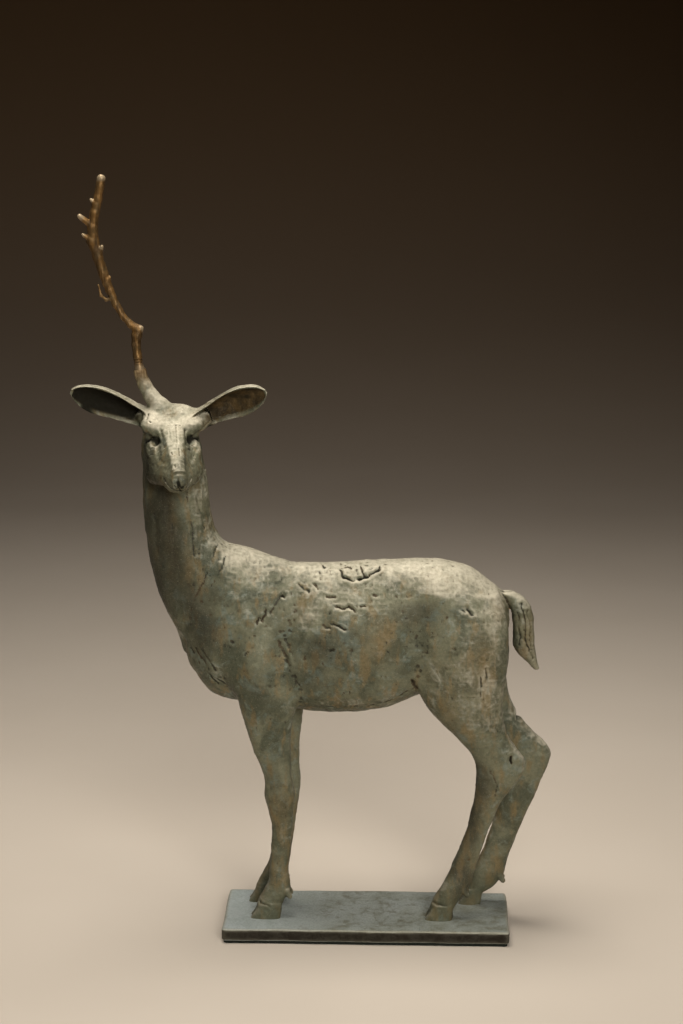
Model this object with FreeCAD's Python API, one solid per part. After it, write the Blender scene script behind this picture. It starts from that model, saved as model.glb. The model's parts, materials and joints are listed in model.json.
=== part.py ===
import FreeCAD, Part
import math
import os
from collections import namedtuple

# Bronze statuette of a standing deer on a thin cast plate, built as a founder builds it: hollow castings
# for torso, neck and head, solid castings for legs, tail, ears and antler, with pins, collars and studs.
# Millimetres, +Z up. The origin is the middle of the face that the statuette rests on. The deer faces -X,
# its left side is towards -Y, and its head is turned to look towards -Y.

Vector = FreeCAD.Vector

# ---------------------------------------------------------------- driving dimensions

PLATE_LENGTH = 245.0
PLATE_DEPTH = 92.0
PLATE_THICKNESS = 10.5
PLATE_CORNER_R = 4.0
PLATE_EDGE_R = 1.6
PAD_THICKNESS = 2.5
PAD_INSET = 2.5
PLATE_TOP = PAD_THICKNESS + PLATE_THICKNESS

MIDPLANE_Y = 5.0        # the deer's own plane of symmetry stands a little behind the plate's middle
WALL = 4.5              # thickness of the hollow castings
COLLAR = 3.0            # thickness of the sleeves that line up two castings
COLLAR_REACH = 9.0      # how far a sleeve reaches into each casting

FORE_SEAM_Z = 182.0     # the legs are cast apart and joined at these heights
HIND_SEAM_Z = 180.0
NECK_SEAM_LOW = (-185.0, 310.0)    # the neck's seam is a plane through these two (x, z) points
NECK_SEAM_HIGH = (-127.0, 343.0)
HEAD_SEAM_Z = 412.0

DOWEL_R = 3.0
DOWEL_REACH = 12.0
STUD_R = 2.0            # M4 studs hold the hooves to the plate
STUD_TOP = 30.0
STUD_CLEARANCE = 0.25
STUD_FOOT = 3.2
COUNTERBORE_R = 5.5
COUNTERBORE_TOP = 7.5
WASHER_R = 4.5
WASHER_THICKNESS = 0.8
NUT_FLATS = 7.0
NUT_THICKNESS = 3.2
PLUG_R = 2.0

# Torso, front to back: x, spine height, underside height, half width, how much fuller the lower half is.
TRUNK = [
    (-150.5, 268.0, 238.0, 10.0, 0.00),
    (-145.0, 288.0, 226.0, 18.0, 0.00),
    (-137.0, 308.0, 213.0, 24.0, 0.00),
    (-125.0, 328.0, 204.5, 28.0, 0.02),
    (-110.0, 333.0, 199.5, 31.0, 0.04),
    (-90.0, 329.0, 196.5, 32.5, 0.06),
    (-68.0, 321.5, 194.5, 33.5, 0.08),
    (-40.0, 319.5, 192.0, 35.5, 0.10),
    (-10.0, 321.0, 192.5, 37.0, 0.12),
    (18.0, 323.0, 197.0, 36.5, 0.12),
    (40.0, 323.5, 206.0, 34.5, 0.08),
    (62.0, 323.0, 215.0, 33.0, 0.04),
    (82.0, 317.5, 224.0, 31.0, 0.00),
    (98.0, 307.0, 234.0, 27.5, 0.00),
    (109.0, 299.0, 243.0, 22.0, 0.00),
    (115.5, 291.0, 253.0, 14.0, 0.00),
    (118.0, 284.0, 262.0, 7.0, 0.00),
]
# Neck, bottom to top: z, front x, back x, half width.
NECK = [
    (236.0, -147.0, -100.0, 24.0),
    (250.0, -154.0, -94.0, 26.5),
    (264.0, -161.5, -89.0, 28.0),
    (278.0, -169.0, -86.0, 28.5),
    (292.0, -175.5, -86.5, 28.0),
    (308.0, -180.0, -92.0, 27.0),
    (320.0, -182.0, -101.0, 26.0),
    (330.0, -183.2, -111.5, 25.0),
    (338.0, -184.2, -119.5, 24.3),
    (348.0, -185.2, -126.5, 23.4),
    (362.0, -186.0, -130.5, 22.0),
    (384.0, -186.0, -134.0, 20.5),
    (404.0, -185.0, -137.0, 20.0),
    (422.0, -181.5, -141.0, 18.5),
    (436.0, -174.0, -148.0, 12.0),
]
# Legs, top to bottom: z, front x, back x, half width, distance of the leg's centre from the midplane.
FRONT_LEFT = [
    (268.0, -110.0, -80.0, 7.0, 21.0),
    (250.0, -117.0, -70.0, 11.5, 21.5),
    (228.0, -116.0, -62.0, 13.5, 21.5),
    (206.0, -108.0, -58.5, 13.0, 21.0),
    (190.0, -103.5, -61.0, 11.5, 20.3),
    (175.0, -99.5, -63.5, 10.5, 19.6),
    (160.0, -94.5, -64.0, 9.4, 19.0),
    (146.0, -89.0, -64.0, 8.4, 18.6),
    (133.0, -85.7, -63.3, 8.4, 18.4),
    (120.0, -86.0, -62.7, 8.8, 18.2),
    (108.0, -83.7, -63.0, 8.0, 18.0),
    (94.0, -81.4, -64.0, 7.0, 18.0),
    (75.0, -81.0, -65.6, 6.6, 18.0),
    (58.0, -81.4, -66.6, 6.9, 18.0),
    (46.0, -83.6, -65.6, 8.0, 18.2),
    (36.0, -88.0, -65.5, 8.4, 18.4),
    (28.0, -92.0, -70.5, 7.8, 18.5),
    (20.0, -94.0, -74.5, 7.0, 18.5),
]
FRONT_RIGHT = [
    (268.0, -110.0, -80.0, 7.0, 21.0),
    (250.0, -116.0, -70.0, 11.5, 21.5),
    (228.0, -114.0, -60.5, 13.5, 21.5),
    (206.0, -105.5, -56.0, 13.0, 21.0),
    (190.0, -101.0, -56.5, 11.5, 20.3),
    (175.0, -96.5, -57.5, 10.5, 19.6),
    (160.0, -91.5, -59.0, 9.4, 19.0),
    (146.0, -86.5, -59.5, 8.4, 18.6),
    (133.0, -83.0, -59.3, 8.4, 18.4),
    (120.0, -83.2, -58.9, 8.8, 18.2),
    (108.0, -81.2, -59.4, 8.0, 18.0),
    (94.0, -79.4, -61.4, 7.0, 18.0),
    (75.0, -80.2, -64.0, 6.6, 18.2),
    (58.0, -82.6, -66.6, 6.9, 18.4),
    (46.0, -86.6, -68.0, 8.0, 18.6),
    (36.0, -91.6, -69.8, 8.4, 18.8),
    (28.0, -95.6, -75.0, 7.8, 19.0),
    (20.0, -98.0, -79.5, 7.0, 19.0),
]
HIND_LEFT = [
    (296.0, 74.0, 108.0, 8.0, 15.0),
    (276.0, 58.0, 116.0, 15.0, 17.0),
    (254.0, 46.0, 118.0, 18.0, 18.5),
    (232.0, 41.5, 116.5, 18.0, 20.0),
    (214.0, 43.0, 114.5, 16.5, 21.0),
    (200.0, 52.0, 113.5, 15.0, 21.3),
    (188.0, 63.0, 114.5, 13.2, 21.0),
    (176.0, 74.5, 118.5, 11.3, 20.3),
    (166.0, 83.5, 125.5, 9.8, 19.6),
    (157.0, 89.5, 131.5, 9.0, 19.0),
    (149.0, 91.5, 133.5, 8.8, 18.6),
    (140.0, 91.6, 130.0, 8.8, 18.4),
    (130.0, 91.2, 122.5, 8.4, 18.2),
    (118.0, 90.0, 114.0, 7.6, 18.0),
    (100.0, 86.5, 105.5, 6.9, 18.0),
    (80.0, 80.5, 98.3, 6.6, 18.0),
    (62.0, 73.0, 92.5, 6.9, 18.0),
    (49.0, 68.0, 88.5, 7.9, 18.2),
    (39.0, 63.0, 86.0, 8.4, 18.3),
    (30.0, 57.5, 79.5, 7.9, 18.4),
    (21.0, 54.5, 74.5, 7.0, 18.4),
]
HIND_RIGHT = [
    (296.0, 74.0, 108.0, 8.0, 15.0),
    (276.0, 60.0, 116.5, 15.0, 17.0),
    (254.0, 52.0, 118.5, 18.0, 18.5),
    (232.0, 52.0, 118.0, 17.5, 20.0),
    (214.0, 60.0, 118.7, 16.0, 21.0),
    (200.0, 72.0, 121.5, 14.3, 21.3),
    (188.0, 84.0, 127.0, 12.6, 21.0),
    (176.0, 95.5, 135.0, 11.0, 20.3),
    (166.0, 104.5, 144.5, 9.8, 19.6),
    (157.0, 111.5, 153.5, 9.0, 19.2),
    (150.0, 115.5, 157.5, 8.8, 19.0),
    (142.0, 117.3, 155.5, 8.8, 19.0),
    (130.0, 117.3, 149.5, 8.4, 19.0),
    (118.0, 115.8, 143.5, 7.9, 19.0),
    (100.0, 111.8, 135.5, 7.4, 19.0),
    (80.0, 106.5, 129.3, 7.2, 19.0),
    (62.0, 100.8, 124.0, 7.4, 19.0),
    (48.0, 95.0, 120.0, 8.0, 19.0),
    (38.0, 90.0, 116.5, 8.4, 19.0),
    (29.0, 86.0, 108.0, 7.9, 19.0),
    (21.0, 83.5, 99.0, 7.0, 19.0),
]
# Each leg: its stations, its side (-1 towards -Y), toe x and heel x at the plate, seam height,
# and the x of its dowel and of its stud.
Leg = namedtuple("Leg", "stations side toe heel seam dowel_x stud_x")
LEGS = {
    "front_left_leg": Leg(FRONT_LEFT, -1, -98.5, -74.5, FORE_SEAM_Z, -81.5, -85.0),
    "front_right_leg": Leg(FRONT_RIGHT, 1, -103.0, -79.5, FORE_SEAM_Z, -78.5, -89.5),
    "hind_left_leg": Leg(HIND_LEFT, -1, 50.5, 72.5, HIND_SEAM_Z, 95.0, 64.0),
    "hind_right_leg": Leg(HIND_RIGHT, 1, 79.5, 99.0, HIND_SEAM_Z, 114.0, 91.0),
}
HOOF_HEIGHT = 13.0
CLAW_HALF_WIDTH = 4.5
CLAW_SPREAD = 4.0
DEWCLAW_R = 2.6
DEWCLAW_SPREAD = 4.6    # of each dewclaw from the middle of its leg

# Head: the poll is its highest point, and the face line runs down from it to the nose.
POLL = Vector(-164.3, 8.0, 454.0)
HEAD_TURN = 13.0        # degrees that the face is turned from -Y towards +X
FACE_SLOPE = 34.0       # degrees that the face line drops
# Distance down the face line, depth of the top line, depth of the jaw line, half width, power of the outline.
HEAD = [
    (-7.0, 14.0, 32.0, 9.0, 2.0),
    (-3.0, 5.0, 41.0, 16.5, 2.1),
    (5.0, 0.0, 46.0, 20.5, 2.2),
    (15.0, -1.0, 46.5, 22.5, 2.3),
    (26.0, 0.0, 44.0, 23.5, 2.4),
    (35.0, 1.2, 40.0, 21.5, 2.4),
    (45.0, 2.2, 34.5, 18.0, 2.4),
    (56.0, 2.6, 29.0, 14.5, 2.4),
    (68.0, 2.4, 24.5, 11.3, 2.4),
    (78.0, 2.2, 22.0, 9.5, 2.3),
    (84.0, 4.2, 18.5, 7.6, 2.2),
    (87.0, 8.0, 14.5, 4.0, 2.0),
]
BROW_AT = (28.0, 17.5, 7.0)      # down the face line, out to each side, below the face line
BROW_R = 7.2
SOCKET_AT = (34.0, 22.0, 14.0)
SOCKET_R = 5.2
EYE_AT = (34.0, 17.8, 14.0)
EYE_R = 4.4
# The head's core, in the same three distances: a ball in the brain case and a cone down the muzzle.
CORE_BALL_AT = (16.0, 0.0, 21.0)
CORE_BALL_R = 13.5
CORE_CONE_AT = (20.0, 0.0, 21.0)
CORE_CONE_R = (13.0, 7.0)
CORE_CONE_LENGTH = 30.0

# Ears, root to tip: share of the length, half width across, depth of the hollow.
EAR = [
    (-0.16, 5.5, 4.0),
    (0.00, 7.0, 5.4),
    (0.16, 9.6, 6.0),
    (0.36, 12.2, 6.0),
    (0.56, 12.4, 5.0),
    (0.76, 9.8, 3.4),
    (0.92, 5.6, 1.6),
    (1.00, 1.6, 0.5),
]
EAR_THICKNESS = 2.0
# Root, tip, and the direction across the ear, for each ear.
EARS = {
    "right_ear": (Vector(-182.0, 3.0, 440.5), Vector(-243.0, -3.0, 465.5), Vector(0.36, 0.0, 1.0)),
    "left_ear": (Vector(-139.0, 3.0, 440.5), Vector(-83.5, -3.0, 466.5), Vector(-0.42, 0.0, 1.0)),
}
EAR_DOWEL_R = 1.5
EAR_DOWEL_REACH = 6.0
EAR_DOWEL_BACK = 4.0    # the dowel stands this far behind the ear's root line

# Antler, cast from a twig: x, y, z, radius. The pedicle is cast with the head, and
# its last length and the beam's first run the same way, so the two meet on one flat face.
PEDICLE = [
    (-166.0, 3.0, 444.0, 8.0),
    (-172.0, 3.0, 452.5, 7.0),
    (-178.5, 3.5, 460.5, 5.6),
    (-184.0, 4.0, 469.0, 4.9),
    (-187.2, 4.75, 477.0, 4.2),
    (-188.0, 5.0, 482.0, 3.9),
]
BEAM = [
    (-188.0, 5.0, 482.0, 3.9),
    (-189.6, 5.5, 492.0, 3.6),
    (-190.6, 6.0, 502.0, 3.7),
    (-189.6, 6.6, 510.0, 4.2),
    (-190.0, 7.0, 515.5, 4.3),
    (-195.5, 7.5, 519.5, 3.3),
    (-201.5, 8.0, 525.5, 3.0),
    (-207.5, 8.2, 535.0, 3.2),
    (-212.5, 8.0, 547.0, 3.6),
    (-216.8, 7.2, 560.0, 4.1),
    (-221.0, 6.2, 574.0, 4.4),
    (-224.3, 5.2, 587.0, 4.7),
    (-224.2, 4.6, 598.0, 4.4),
    (-222.0, 4.4, 610.0, 4.1),
    (-219.0, 4.4, 622.0, 4.0),
    (-217.0, 4.2, 632.0, 3.9),
    (-216.3, 4.0, 637.2, 3.8),
]
# Side twigs broken off short: start, end, radius at each end.
TINES = [
    (Vector(-224.0, 4.0, 598.0), Vector(-234.0, 1.0, 607.0), 3.0, 2.4),
    (Vector(-225.0, 4.0, 587.0), Vector(-232.0, 2.0, 592.5), 2.8, 1.6),
    (Vector(-224.0, 5.0, 579.0), Vector(-229.5, 5.0, 586.0), 2.4, 1.1),
    (Vector(-220.5, 4.0, 615.0), Vector(-225.5, 2.0, 620.0), 2.6, 1.5),
    (Vector(-219.5, 5.5, 575.0), Vector(-216.5, 3.5, 583.0), 3.4, 1.8),
    (Vector(-214.5, 7.0, 551.0), Vector(-211.5, 6.0, 558.5), 3.0, 1.6),
]
BROW_TINE = (Vector(-181.5, 3.5, 464.0), Vector(-189.0, 0.5, 470.5), 3.6, 1.7)
HOOK = [Vector(-208.5, 7.5, 540.5), Vector(-217.5, 5.0, 540.5), Vector(-220.5, 4.0, 551.5)]
HOOK_R = 1.1
KNOT = 1.06             # a twig's knots are this much thicker than the twig
ANTLER_PIN_R = 1.6
ANTLER_PIN_REACH = 9.0

# Tail, root to tip: x, z, half thickness along X, half width along Y.
TAIL = [
    (112.0, 286.0, 6.0, 6.0),
    (121.5, 286.5, 7.8, 7.6),
    (128.5, 279.0, 8.6, 8.8),
    (131.2, 266.0, 8.6, 9.2),
    (132.0, 253.0, 8.2, 8.6),
    (136.0, 242.0, 6.2, 6.8),
    (141.0, 233.5, 4.0, 4.6),
    (143.8, 229.0, 1.8, 2.2),
]
TAIL_DOWEL_FROM = (113.0, 283.0)     # x and z of the dowel's inner end, which runs along +X
TAIL_DOWEL_LENGTH = 13.0
TAIL_DOWEL_R = 2.0

# Plugs that close the holes left by the core pins: x, z on the torso's sides.
TORSO_PLUGS = [(-55.0, 285.0), (-10.0, 240.0), (30.0, 290.0)]
NECK_PLUG = (-160.0, 365.0)

SECTION_POINTS = 16
FAR = 300.0             # well outside the object, for the solids that cut it apart


# ---------------------------------------------------------------- helpers

def even_turns(count):
    """Angles evenly spaced round a closed section."""
    return [2.0 * math.pi * i / count for i in range(count)]


def outline(centre, across, up, half_across, half_up, power=2.0, fullness=0.0):
    """A closed smooth section: a superellipse, wider below its middle where fullness is above 0."""
    points = []
    for turn in even_turns(SECTION_POINTS):
        c = math.cos(turn)
        s = math.sin(turn)
        a = math.copysign(abs(c) ** (2.0 / power), c) * half_across * (1.0 - fullness * s)
        b = math.copysign(abs(s) ** (2.0 / power), s) * half_up
        points.append(centre + across * a + up * b)
    curve = Part.BSplineCurve()
    curve.interpolate(points, PeriodicFlag=True)
    return Part.Wire([curve.toShape()])


def loft(wires):
    """A closed solid through the sections."""
    solid = Part.makeLoft(wires, True, False)
    if solid.Volume < 0:
        solid.reverse()
    return solid


def level_section(z, front, back, half_width, centre_y, inset=0.0, power=2.2):
    """A section that lies level, from its front x to its back x."""
    centre = Vector((front + back) / 2.0, centre_y, z)
    half_length = (back - front) / 2.0 - inset
    return outline(centre, Vector(0, 1, 0), Vector(1, 0, 0), half_width - inset, half_length, power)


def rod(start, end, radius):
    """A round bar between two points."""
    along = end - start
    return Part.makeCylinder(radius, along.Length, start, along)


def taper(start, end, radius_start, radius_end):
    """A tapering twig that ends in a rounded knot a little thicker than the twig."""
    along = end - start
    cone = Part.makeCone(radius_start, radius_end, along.Length, start, along)
    return cone.fuse(Part.makeSphere(radius_end * KNOT, end))


def one_solid(shape):
    """The single solid of a boolean's result."""
    solids = sorted(shape.Solids, key=lambda s: s.Volume)
    return solids[-1]


# ---------------------------------------------------------------- plate and its fasteners

def hoof_y(leg):
    """How far along y the middle of a hoof stands."""
    return MIDPLANE_Y + leg.side * leg.stations[-1][4]


def hoof_places():
    """The foot of each stud, level with the pad's underside."""
    return [Vector(leg.stud_x, hoof_y(leg), 0.0) for leg in LEGS.values()]


def base_plate():
    plate = Part.makeBox(PLATE_LENGTH, PLATE_DEPTH, PLATE_THICKNESS,
                         Vector(-PLATE_LENGTH / 2, -PLATE_DEPTH / 2, PAD_THICKNESS))
    upright = [e for e in plate.Edges if abs(e.tangentAt(e.FirstParameter).z) > 0.9]
    plate = plate.makeFillet(PLATE_CORNER_R, upright)
    top = [e for e in plate.Edges if e.BoundBox.ZMin > PLATE_TOP - 0.01]
    plate = plate.makeFillet(PLATE_EDGE_R, top)
    for place in hoof_places():
        hole = Part.makeCylinder(STUD_R + STUD_CLEARANCE, PLATE_TOP, place)
        seat = Part.makeCylinder(COUNTERBORE_R, COUNTERBORE_TOP, place)
        plate = plate.cut(hole.fuse(seat))
    return plate


def base_pad():
    pad = Part.makeBox(PLATE_LENGTH - 2 * PAD_INSET, PLATE_DEPTH - 2 * PAD_INSET, PAD_THICKNESS,
                       Vector(PAD_INSET - PLATE_LENGTH / 2, PAD_INSET - PLATE_DEPTH / 2, 0.0))
    upright = [e for e in pad.Edges if abs(e.tangentAt(e.FirstParameter).z) > 0.9]
    return pad.makeFillet(PLATE_CORNER_R - 1.0, upright)


def hoof_studs():
    foot = Vector(0, 0, STUD_FOOT)
    return [Part.makeCylinder(STUD_R, STUD_TOP - STUD_FOOT, place + foot) for place in hoof_places()]


def hoof_washers():
    made = []
    for place in hoof_places():
        start = place + Vector(0, 0, COUNTERBORE_TOP - WASHER_THICKNESS)
        disc = Part.makeCylinder(WASHER_R, WASHER_THICKNESS, start)
        made.append(disc.cut(Part.makeCylinder(STUD_R + STUD_CLEARANCE, WASHER_THICKNESS, start)))
    return made


def hoof_nuts():
    made = []
    corner_r = NUT_FLATS / 2.0 / math.cos(math.pi / 6)
    for place in hoof_places():
        start = place + Vector(0, 0, COUNTERBORE_TOP - WASHER_THICKNESS - NUT_THICKNESS)
        corners = [start + Vector(corner_r * math.cos(t), corner_r * math.sin(t), 0.0)
                   for t in even_turns(6)]
        face = Part.Face(Part.makePolygon(corners + corners[:1]))
        nut = face.extrude(Vector(0, 0, NUT_THICKNESS))
        made.append(nut.cut(Part.makeCylinder(STUD_R, NUT_THICKNESS, start)))
    return made


# ---------------------------------------------------------------- body castings

def trunk(inset=0.0):
    """The barrel of the body from chest to rump, drawn in by inset all round."""
    middle = (TRUNK[0][0] + TRUNK[-1][0]) / 2.0
    half = (TRUNK[-1][0] - TRUNK[0][0]) / 2.0
    wires = []
    for x, top, bottom, half_width, fullness in TRUNK:
        if half_width - inset < 5.0:
            continue
        at = middle + (x - middle) * (1.0 - inset / half)
        centre = Vector(at, MIDPLANE_Y, (top + bottom) / 2.0)
        half_height = (top - bottom) / 2.0 - inset
        wires.append(outline(centre, Vector(0, 1, 0), Vector(0, 0, 1), half_width - inset,
                             half_height, 2.3, fullness))
    return loft(wires)


def neck(inset=0.0):
    """The neck, from inside the chest up into the skull, drawn in by inset all round."""
    wires = [level_section(z, front, back, half_width, MIDPLANE_Y, inset)
             for z, front, back, half_width in NECK
             if half_width - inset > 8.0]
    return loft(wires)


def whole_leg(leg):
    """A leg from its hoof to its upper end inside the body."""
    wires = [level_section(z, front, back, half_width, MIDPLANE_Y + leg.side * off)
             for z, front, back, half_width, off in leg.stations]
    return loft(wires)


def below(z):
    """Everything under a level plane."""
    return Part.makeBox(2 * FAR, 2 * FAR, 2 * FAR, Vector(-FAR, -FAR, z - 2 * FAR))


def above(z):
    """Everything over a level plane."""
    return Part.makeBox(2 * FAR, 2 * FAR, 2 * FAR, Vector(-FAR, -FAR, z))


def along_neck(nearest, furthest):
    """The space between two planes that lie along the neck's seam, given by their distances from it."""
    low = Vector(NECK_SEAM_LOW[0], -FAR, NECK_SEAM_LOW[1])
    high = Vector(NECK_SEAM_HIGH[0], -FAR, NECK_SEAM_HIGH[1])
    along = (high - low).normalize()
    out = Vector(-along.z, 0, along.x)
    low = low - along * FAR
    high = high + along * FAR
    corners = [low + out * nearest, high + out * nearest, high + out * furthest, low + out * furthest]
    face = Part.Face(Part.makePolygon(corners + corners[:1]))
    return face.extrude(Vector(0, 2 * FAR, 0))


def sleeve(outer, inner, region):
    """A thin ring between two nested solids, inside a region."""
    return one_solid(outer.cut(inner).common(region))


def claws(toe, heel, centre_y):
    """The two claws of a cloven hoof, fused into one block."""
    made = []
    length = heel - toe
    for spread in (-CLAW_SPREAD, CLAW_SPREAD):
        bottom = level_section(PLATE_TOP, toe, heel, CLAW_HALF_WIDTH, centre_y + spread, 0.0, 2.6)
        middle = level_section(PLATE_TOP + 0.55 * HOOF_HEIGHT, toe + 0.16 * length, heel + 0.05 * length,
                               CLAW_HALF_WIDTH * 0.96, centre_y + spread, 0.0, 2.4)
        top = level_section(PLATE_TOP + HOOF_HEIGHT, toe + 0.34 * length, heel + 0.06 * length,
                            CLAW_HALF_WIDTH * 0.8, centre_y + spread * 0.85, 0.0, 2.2)
        made.append(loft([bottom, middle, top]))
    return made[0].fuse(made[1])


def leg_dowel(leg):
    """The dowel that crosses the seam between a leg and the body."""
    off = [station[4] for station in leg.stations if station[0] > leg.seam][-1]
    foot = Vector(leg.dowel_x, MIDPLANE_Y + leg.side * off, leg.seam - DOWEL_REACH)
    return Part.makeCylinder(DOWEL_R, 2 * DOWEL_REACH, foot)


def leg_casting(leg, whole):
    """The leg under its seam, with hoof and dewclaws, and holes for its dowel and stud."""
    shape = whole.common(below(leg.seam)).fuse(claws(leg.toe, leg.heel, hoof_y(leg)))
    fetlock_z = leg.stations[-3][0]
    fetlock_back = leg.stations[-3][2]
    for spread in (-DEWCLAW_SPREAD, DEWCLAW_SPREAD):
        place = Vector(fetlock_back - 1.0, hoof_y(leg) + spread, fetlock_z - 1.5)
        shape = shape.fuse(Part.makeSphere(DEWCLAW_R, place))
    shape = one_solid(shape).cut(leg_dowel(leg))
    stud_hole = Part.makeCylinder(STUD_R, STUD_TOP, Vector(leg.stud_x, hoof_y(leg), 0.0))
    return one_solid(shape.cut(stud_hole))


def plug_bar(x, z, side):
    """A bar through one wall of a hollow casting, from outside to the middle."""
    return Part.makeCylinder(PLUG_R, 60.0, Vector(x, MIDPLANE_Y, z), Vector(0, side, 0))


# ---------------------------------------------------------------- head, ears, antler, tail

def head_axes():
    """The directions down the face line, out of the face, and to the deer's left."""
    turn = math.radians(HEAD_TURN)
    slope = math.radians(FACE_SLOPE)
    ahead = Vector(math.sin(turn), -math.cos(turn), 0)
    down_face = ahead * math.cos(slope) - Vector(0, 0, math.sin(slope))
    out_of_face = ahead * math.sin(slope) + Vector(0, 0, math.cos(slope))
    left = Vector(math.cos(turn), math.sin(turn), 0)
    return down_face, out_of_face, left


def on_head(along, aside, depth):
    """A point given down the face line, to the deer's left, and under the face line."""
    down_face, out_of_face, left = head_axes()
    return POLL + down_face * along + left * aside - out_of_face * depth


def skull():
    """The head without brows and eyes."""
    down_face, out_of_face, left = head_axes()
    wires = [outline(on_head(along, 0.0, (top + jaw) / 2.0), left, out_of_face, half_width,
                     (jaw - top) / 2.0, power)
             for along, top, jaw, half_width, power in HEAD]
    return loft(wires)


def twig(stations):
    """A smooth tapering bar through stations of x, y, z and radius."""
    wires = []
    for i, (x, y, z, radius) in enumerate(stations):
        before = stations[max(i - 1, 0)]
        after = stations[min(i + 1, len(stations) - 1)]
        along = Vector(after[0] - before[0], after[1] - before[1], after[2] - before[2]).normalize()
        across = along.cross(Vector(0, 1, 0)).normalize()
        up = along.cross(across)
        wires.append(outline(Vector(x, y, z), across, up, radius, radius))
    return loft(wires)


def ear(root, tip, across):
    """A leaf-shaped ear: a thin curved shell, hollow towards -Y."""
    along = tip - root
    length = along.Length
    along = along.normalize()
    back = along.cross(across).normalize()
    if back.y < 0:
        back = back * -1
    across = back.cross(along).normalize()
    wires = []
    for share, half_width, hollow in EAR:
        centre = root + along * (share * length)
        rim = min(0.9, half_width * 0.4)
        outer = [centre - across * half_width,
                 centre + back * (hollow + EAR_THICKNESS),
                 centre + across * half_width]
        inner = [centre + across * (half_width - rim),
                 centre + back * hollow,
                 centre - across * (half_width - rim)]
        edges = [Part.Arc(*outer).toShape(),
                 Part.LineSegment(outer[2], inner[0]).toShape(),
                 Part.Arc(*inner).toShape(),
                 Part.LineSegment(inner[2], outer[0]).toShape()]
        wires.append(Part.Wire(edges))
    return loft(wires)


def tail_shape():
    wires = []
    for i, (x, z, half_x, half_y) in enumerate(TAIL):
        before = TAIL[max(i - 1, 0)]
        after = TAIL[min(i + 1, len(TAIL) - 1)]
        along = Vector(after[0] - before[0], 0, after[1] - before[1]).normalize()
        across = Vector(0, 1, 0)
        wires.append(outline(Vector(x, MIDPLANE_Y, z), across, along.cross(across), half_y, half_x))
    return loft(wires)


def beam():
    """The antler's main stem: tapering lengths with rounded joints between them."""
    points = [Vector(x, y, z) for x, y, z, radius in BEAM]
    radii = [station[3] for station in BEAM]
    lengths = [taper(points[i], points[i + 1], radii[i], radii[i + 1]) for i in range(len(BEAM) - 1)]
    return lengths[0].fuse(lengths[1:])


def hook():
    """The thin curled side twig: a wire bent to an arc, with a rounded end."""
    arc = Part.Arc(*HOOK)
    path = Part.Wire([arc.toShape()])
    circle = Part.Circle(HOOK[0], arc.tangent(arc.FirstParameter)[0], HOOK_R)
    tube = path.makePipeShell([Part.Wire([circle.toShape()])], True, False)
    return tube.fuse(Part.makeSphere(HOOK_R * KNOT, HOOK[-1]))


def solid_head():
    """Skull, brows, eyes and pedicle in one, over the top of the neck, before its core is taken out."""
    head = skull().fuse(neck().common(above(HEAD_SEAM_Z)))
    head = head.fuse(twig(PEDICLE)).fuse(taper(*BROW_TINE))
    for side in (-1, 1):
        along, aside, depth = BROW_AT
        head = head.fuse(Part.makeSphere(BROW_R, on_head(along, side * aside, depth)))
    for side in (-1, 1):
        along, aside, depth = SOCKET_AT
        head = head.cut(Part.makeSphere(SOCKET_R, on_head(along, side * aside, depth)))
        along, aside, depth = EYE_AT
        head = head.fuse(Part.makeSphere(EYE_R, on_head(along, side * aside, depth)))
    return head


def without_core(head):
    """The head with its hollow, which opens into the neck's."""
    ball = Part.makeSphere(CORE_BALL_R, on_head(*CORE_BALL_AT))
    down_face = head_axes()[0]
    wide, narrow = CORE_CONE_R
    cone = Part.makeCone(wide, narrow, CORE_CONE_LENGTH, on_head(*CORE_CONE_AT), down_face)
    return head.cut(neck(WALL)).cut(ball).cut(cone)


def ear_pin(root, tip):
    """The pin that holds an ear to the head."""
    along = (tip - root).normalize()
    start = root + Vector(0, EAR_DOWEL_BACK, 0)
    return rod(start - along * EAR_DOWEL_REACH, start + along * EAR_DOWEL_REACH, EAR_DOWEL_R)


def antler_pin():
    """The pin that holds the antler on the end of its pedicle."""
    foot = Vector(*BEAM[0][:3])
    along = (Vector(*BEAM[1][:3]) - foot).normalize()
    return rod(foot - along * ANTLER_PIN_REACH, foot + along * ANTLER_PIN_REACH, ANTLER_PIN_R)


def antler(pin):
    """The stem with its side twigs, and a hole for its pin."""
    shape = beam().fuse([taper(*tine) for tine in TINES]).fuse(hook())
    return one_solid(shape.cut(pin))


# ---------------------------------------------------------------- assembly

def plugged(casting, places):
    """A casting's holes from its core pins, and the plugs that close them flush with its walls."""
    plugs = []
    for x, z in places:
        for side in (-1, 1):
            bar = plug_bar(x, z, side)
            plugs += casting.common(bar).Solids
            casting = casting.cut(bar)
    return casting, plugs


def add_legs(parts):
    """The leg castings and their dowels. Gives back the legs' upper ends, which are cast with the torso."""
    stubs = []
    dowels = []
    for name, leg in LEGS.items():
        whole = whole_leg(leg)
        parts[name] = leg_casting(leg, whole)
        stubs.append(whole.common(above(leg.seam)))
        dowels.append(leg_dowel(leg))
    parts["leg_dowels"] = dowels
    return stubs, dowels


def add_tail(parts):
    """The tail, which butts against the rump, and the dowel across its seam."""
    root = Vector(TAIL_DOWEL_FROM[0], MIDPLANE_Y, TAIL_DOWEL_FROM[1])
    dowel = rod(root, root + Vector(TAIL_DOWEL_LENGTH, 0, 0), TAIL_DOWEL_R)
    parts["tail"] = one_solid(tail_shape().cut(trunk()).cut(dowel))
    parts["tail_dowel"] = dowel
    return dowel


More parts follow.
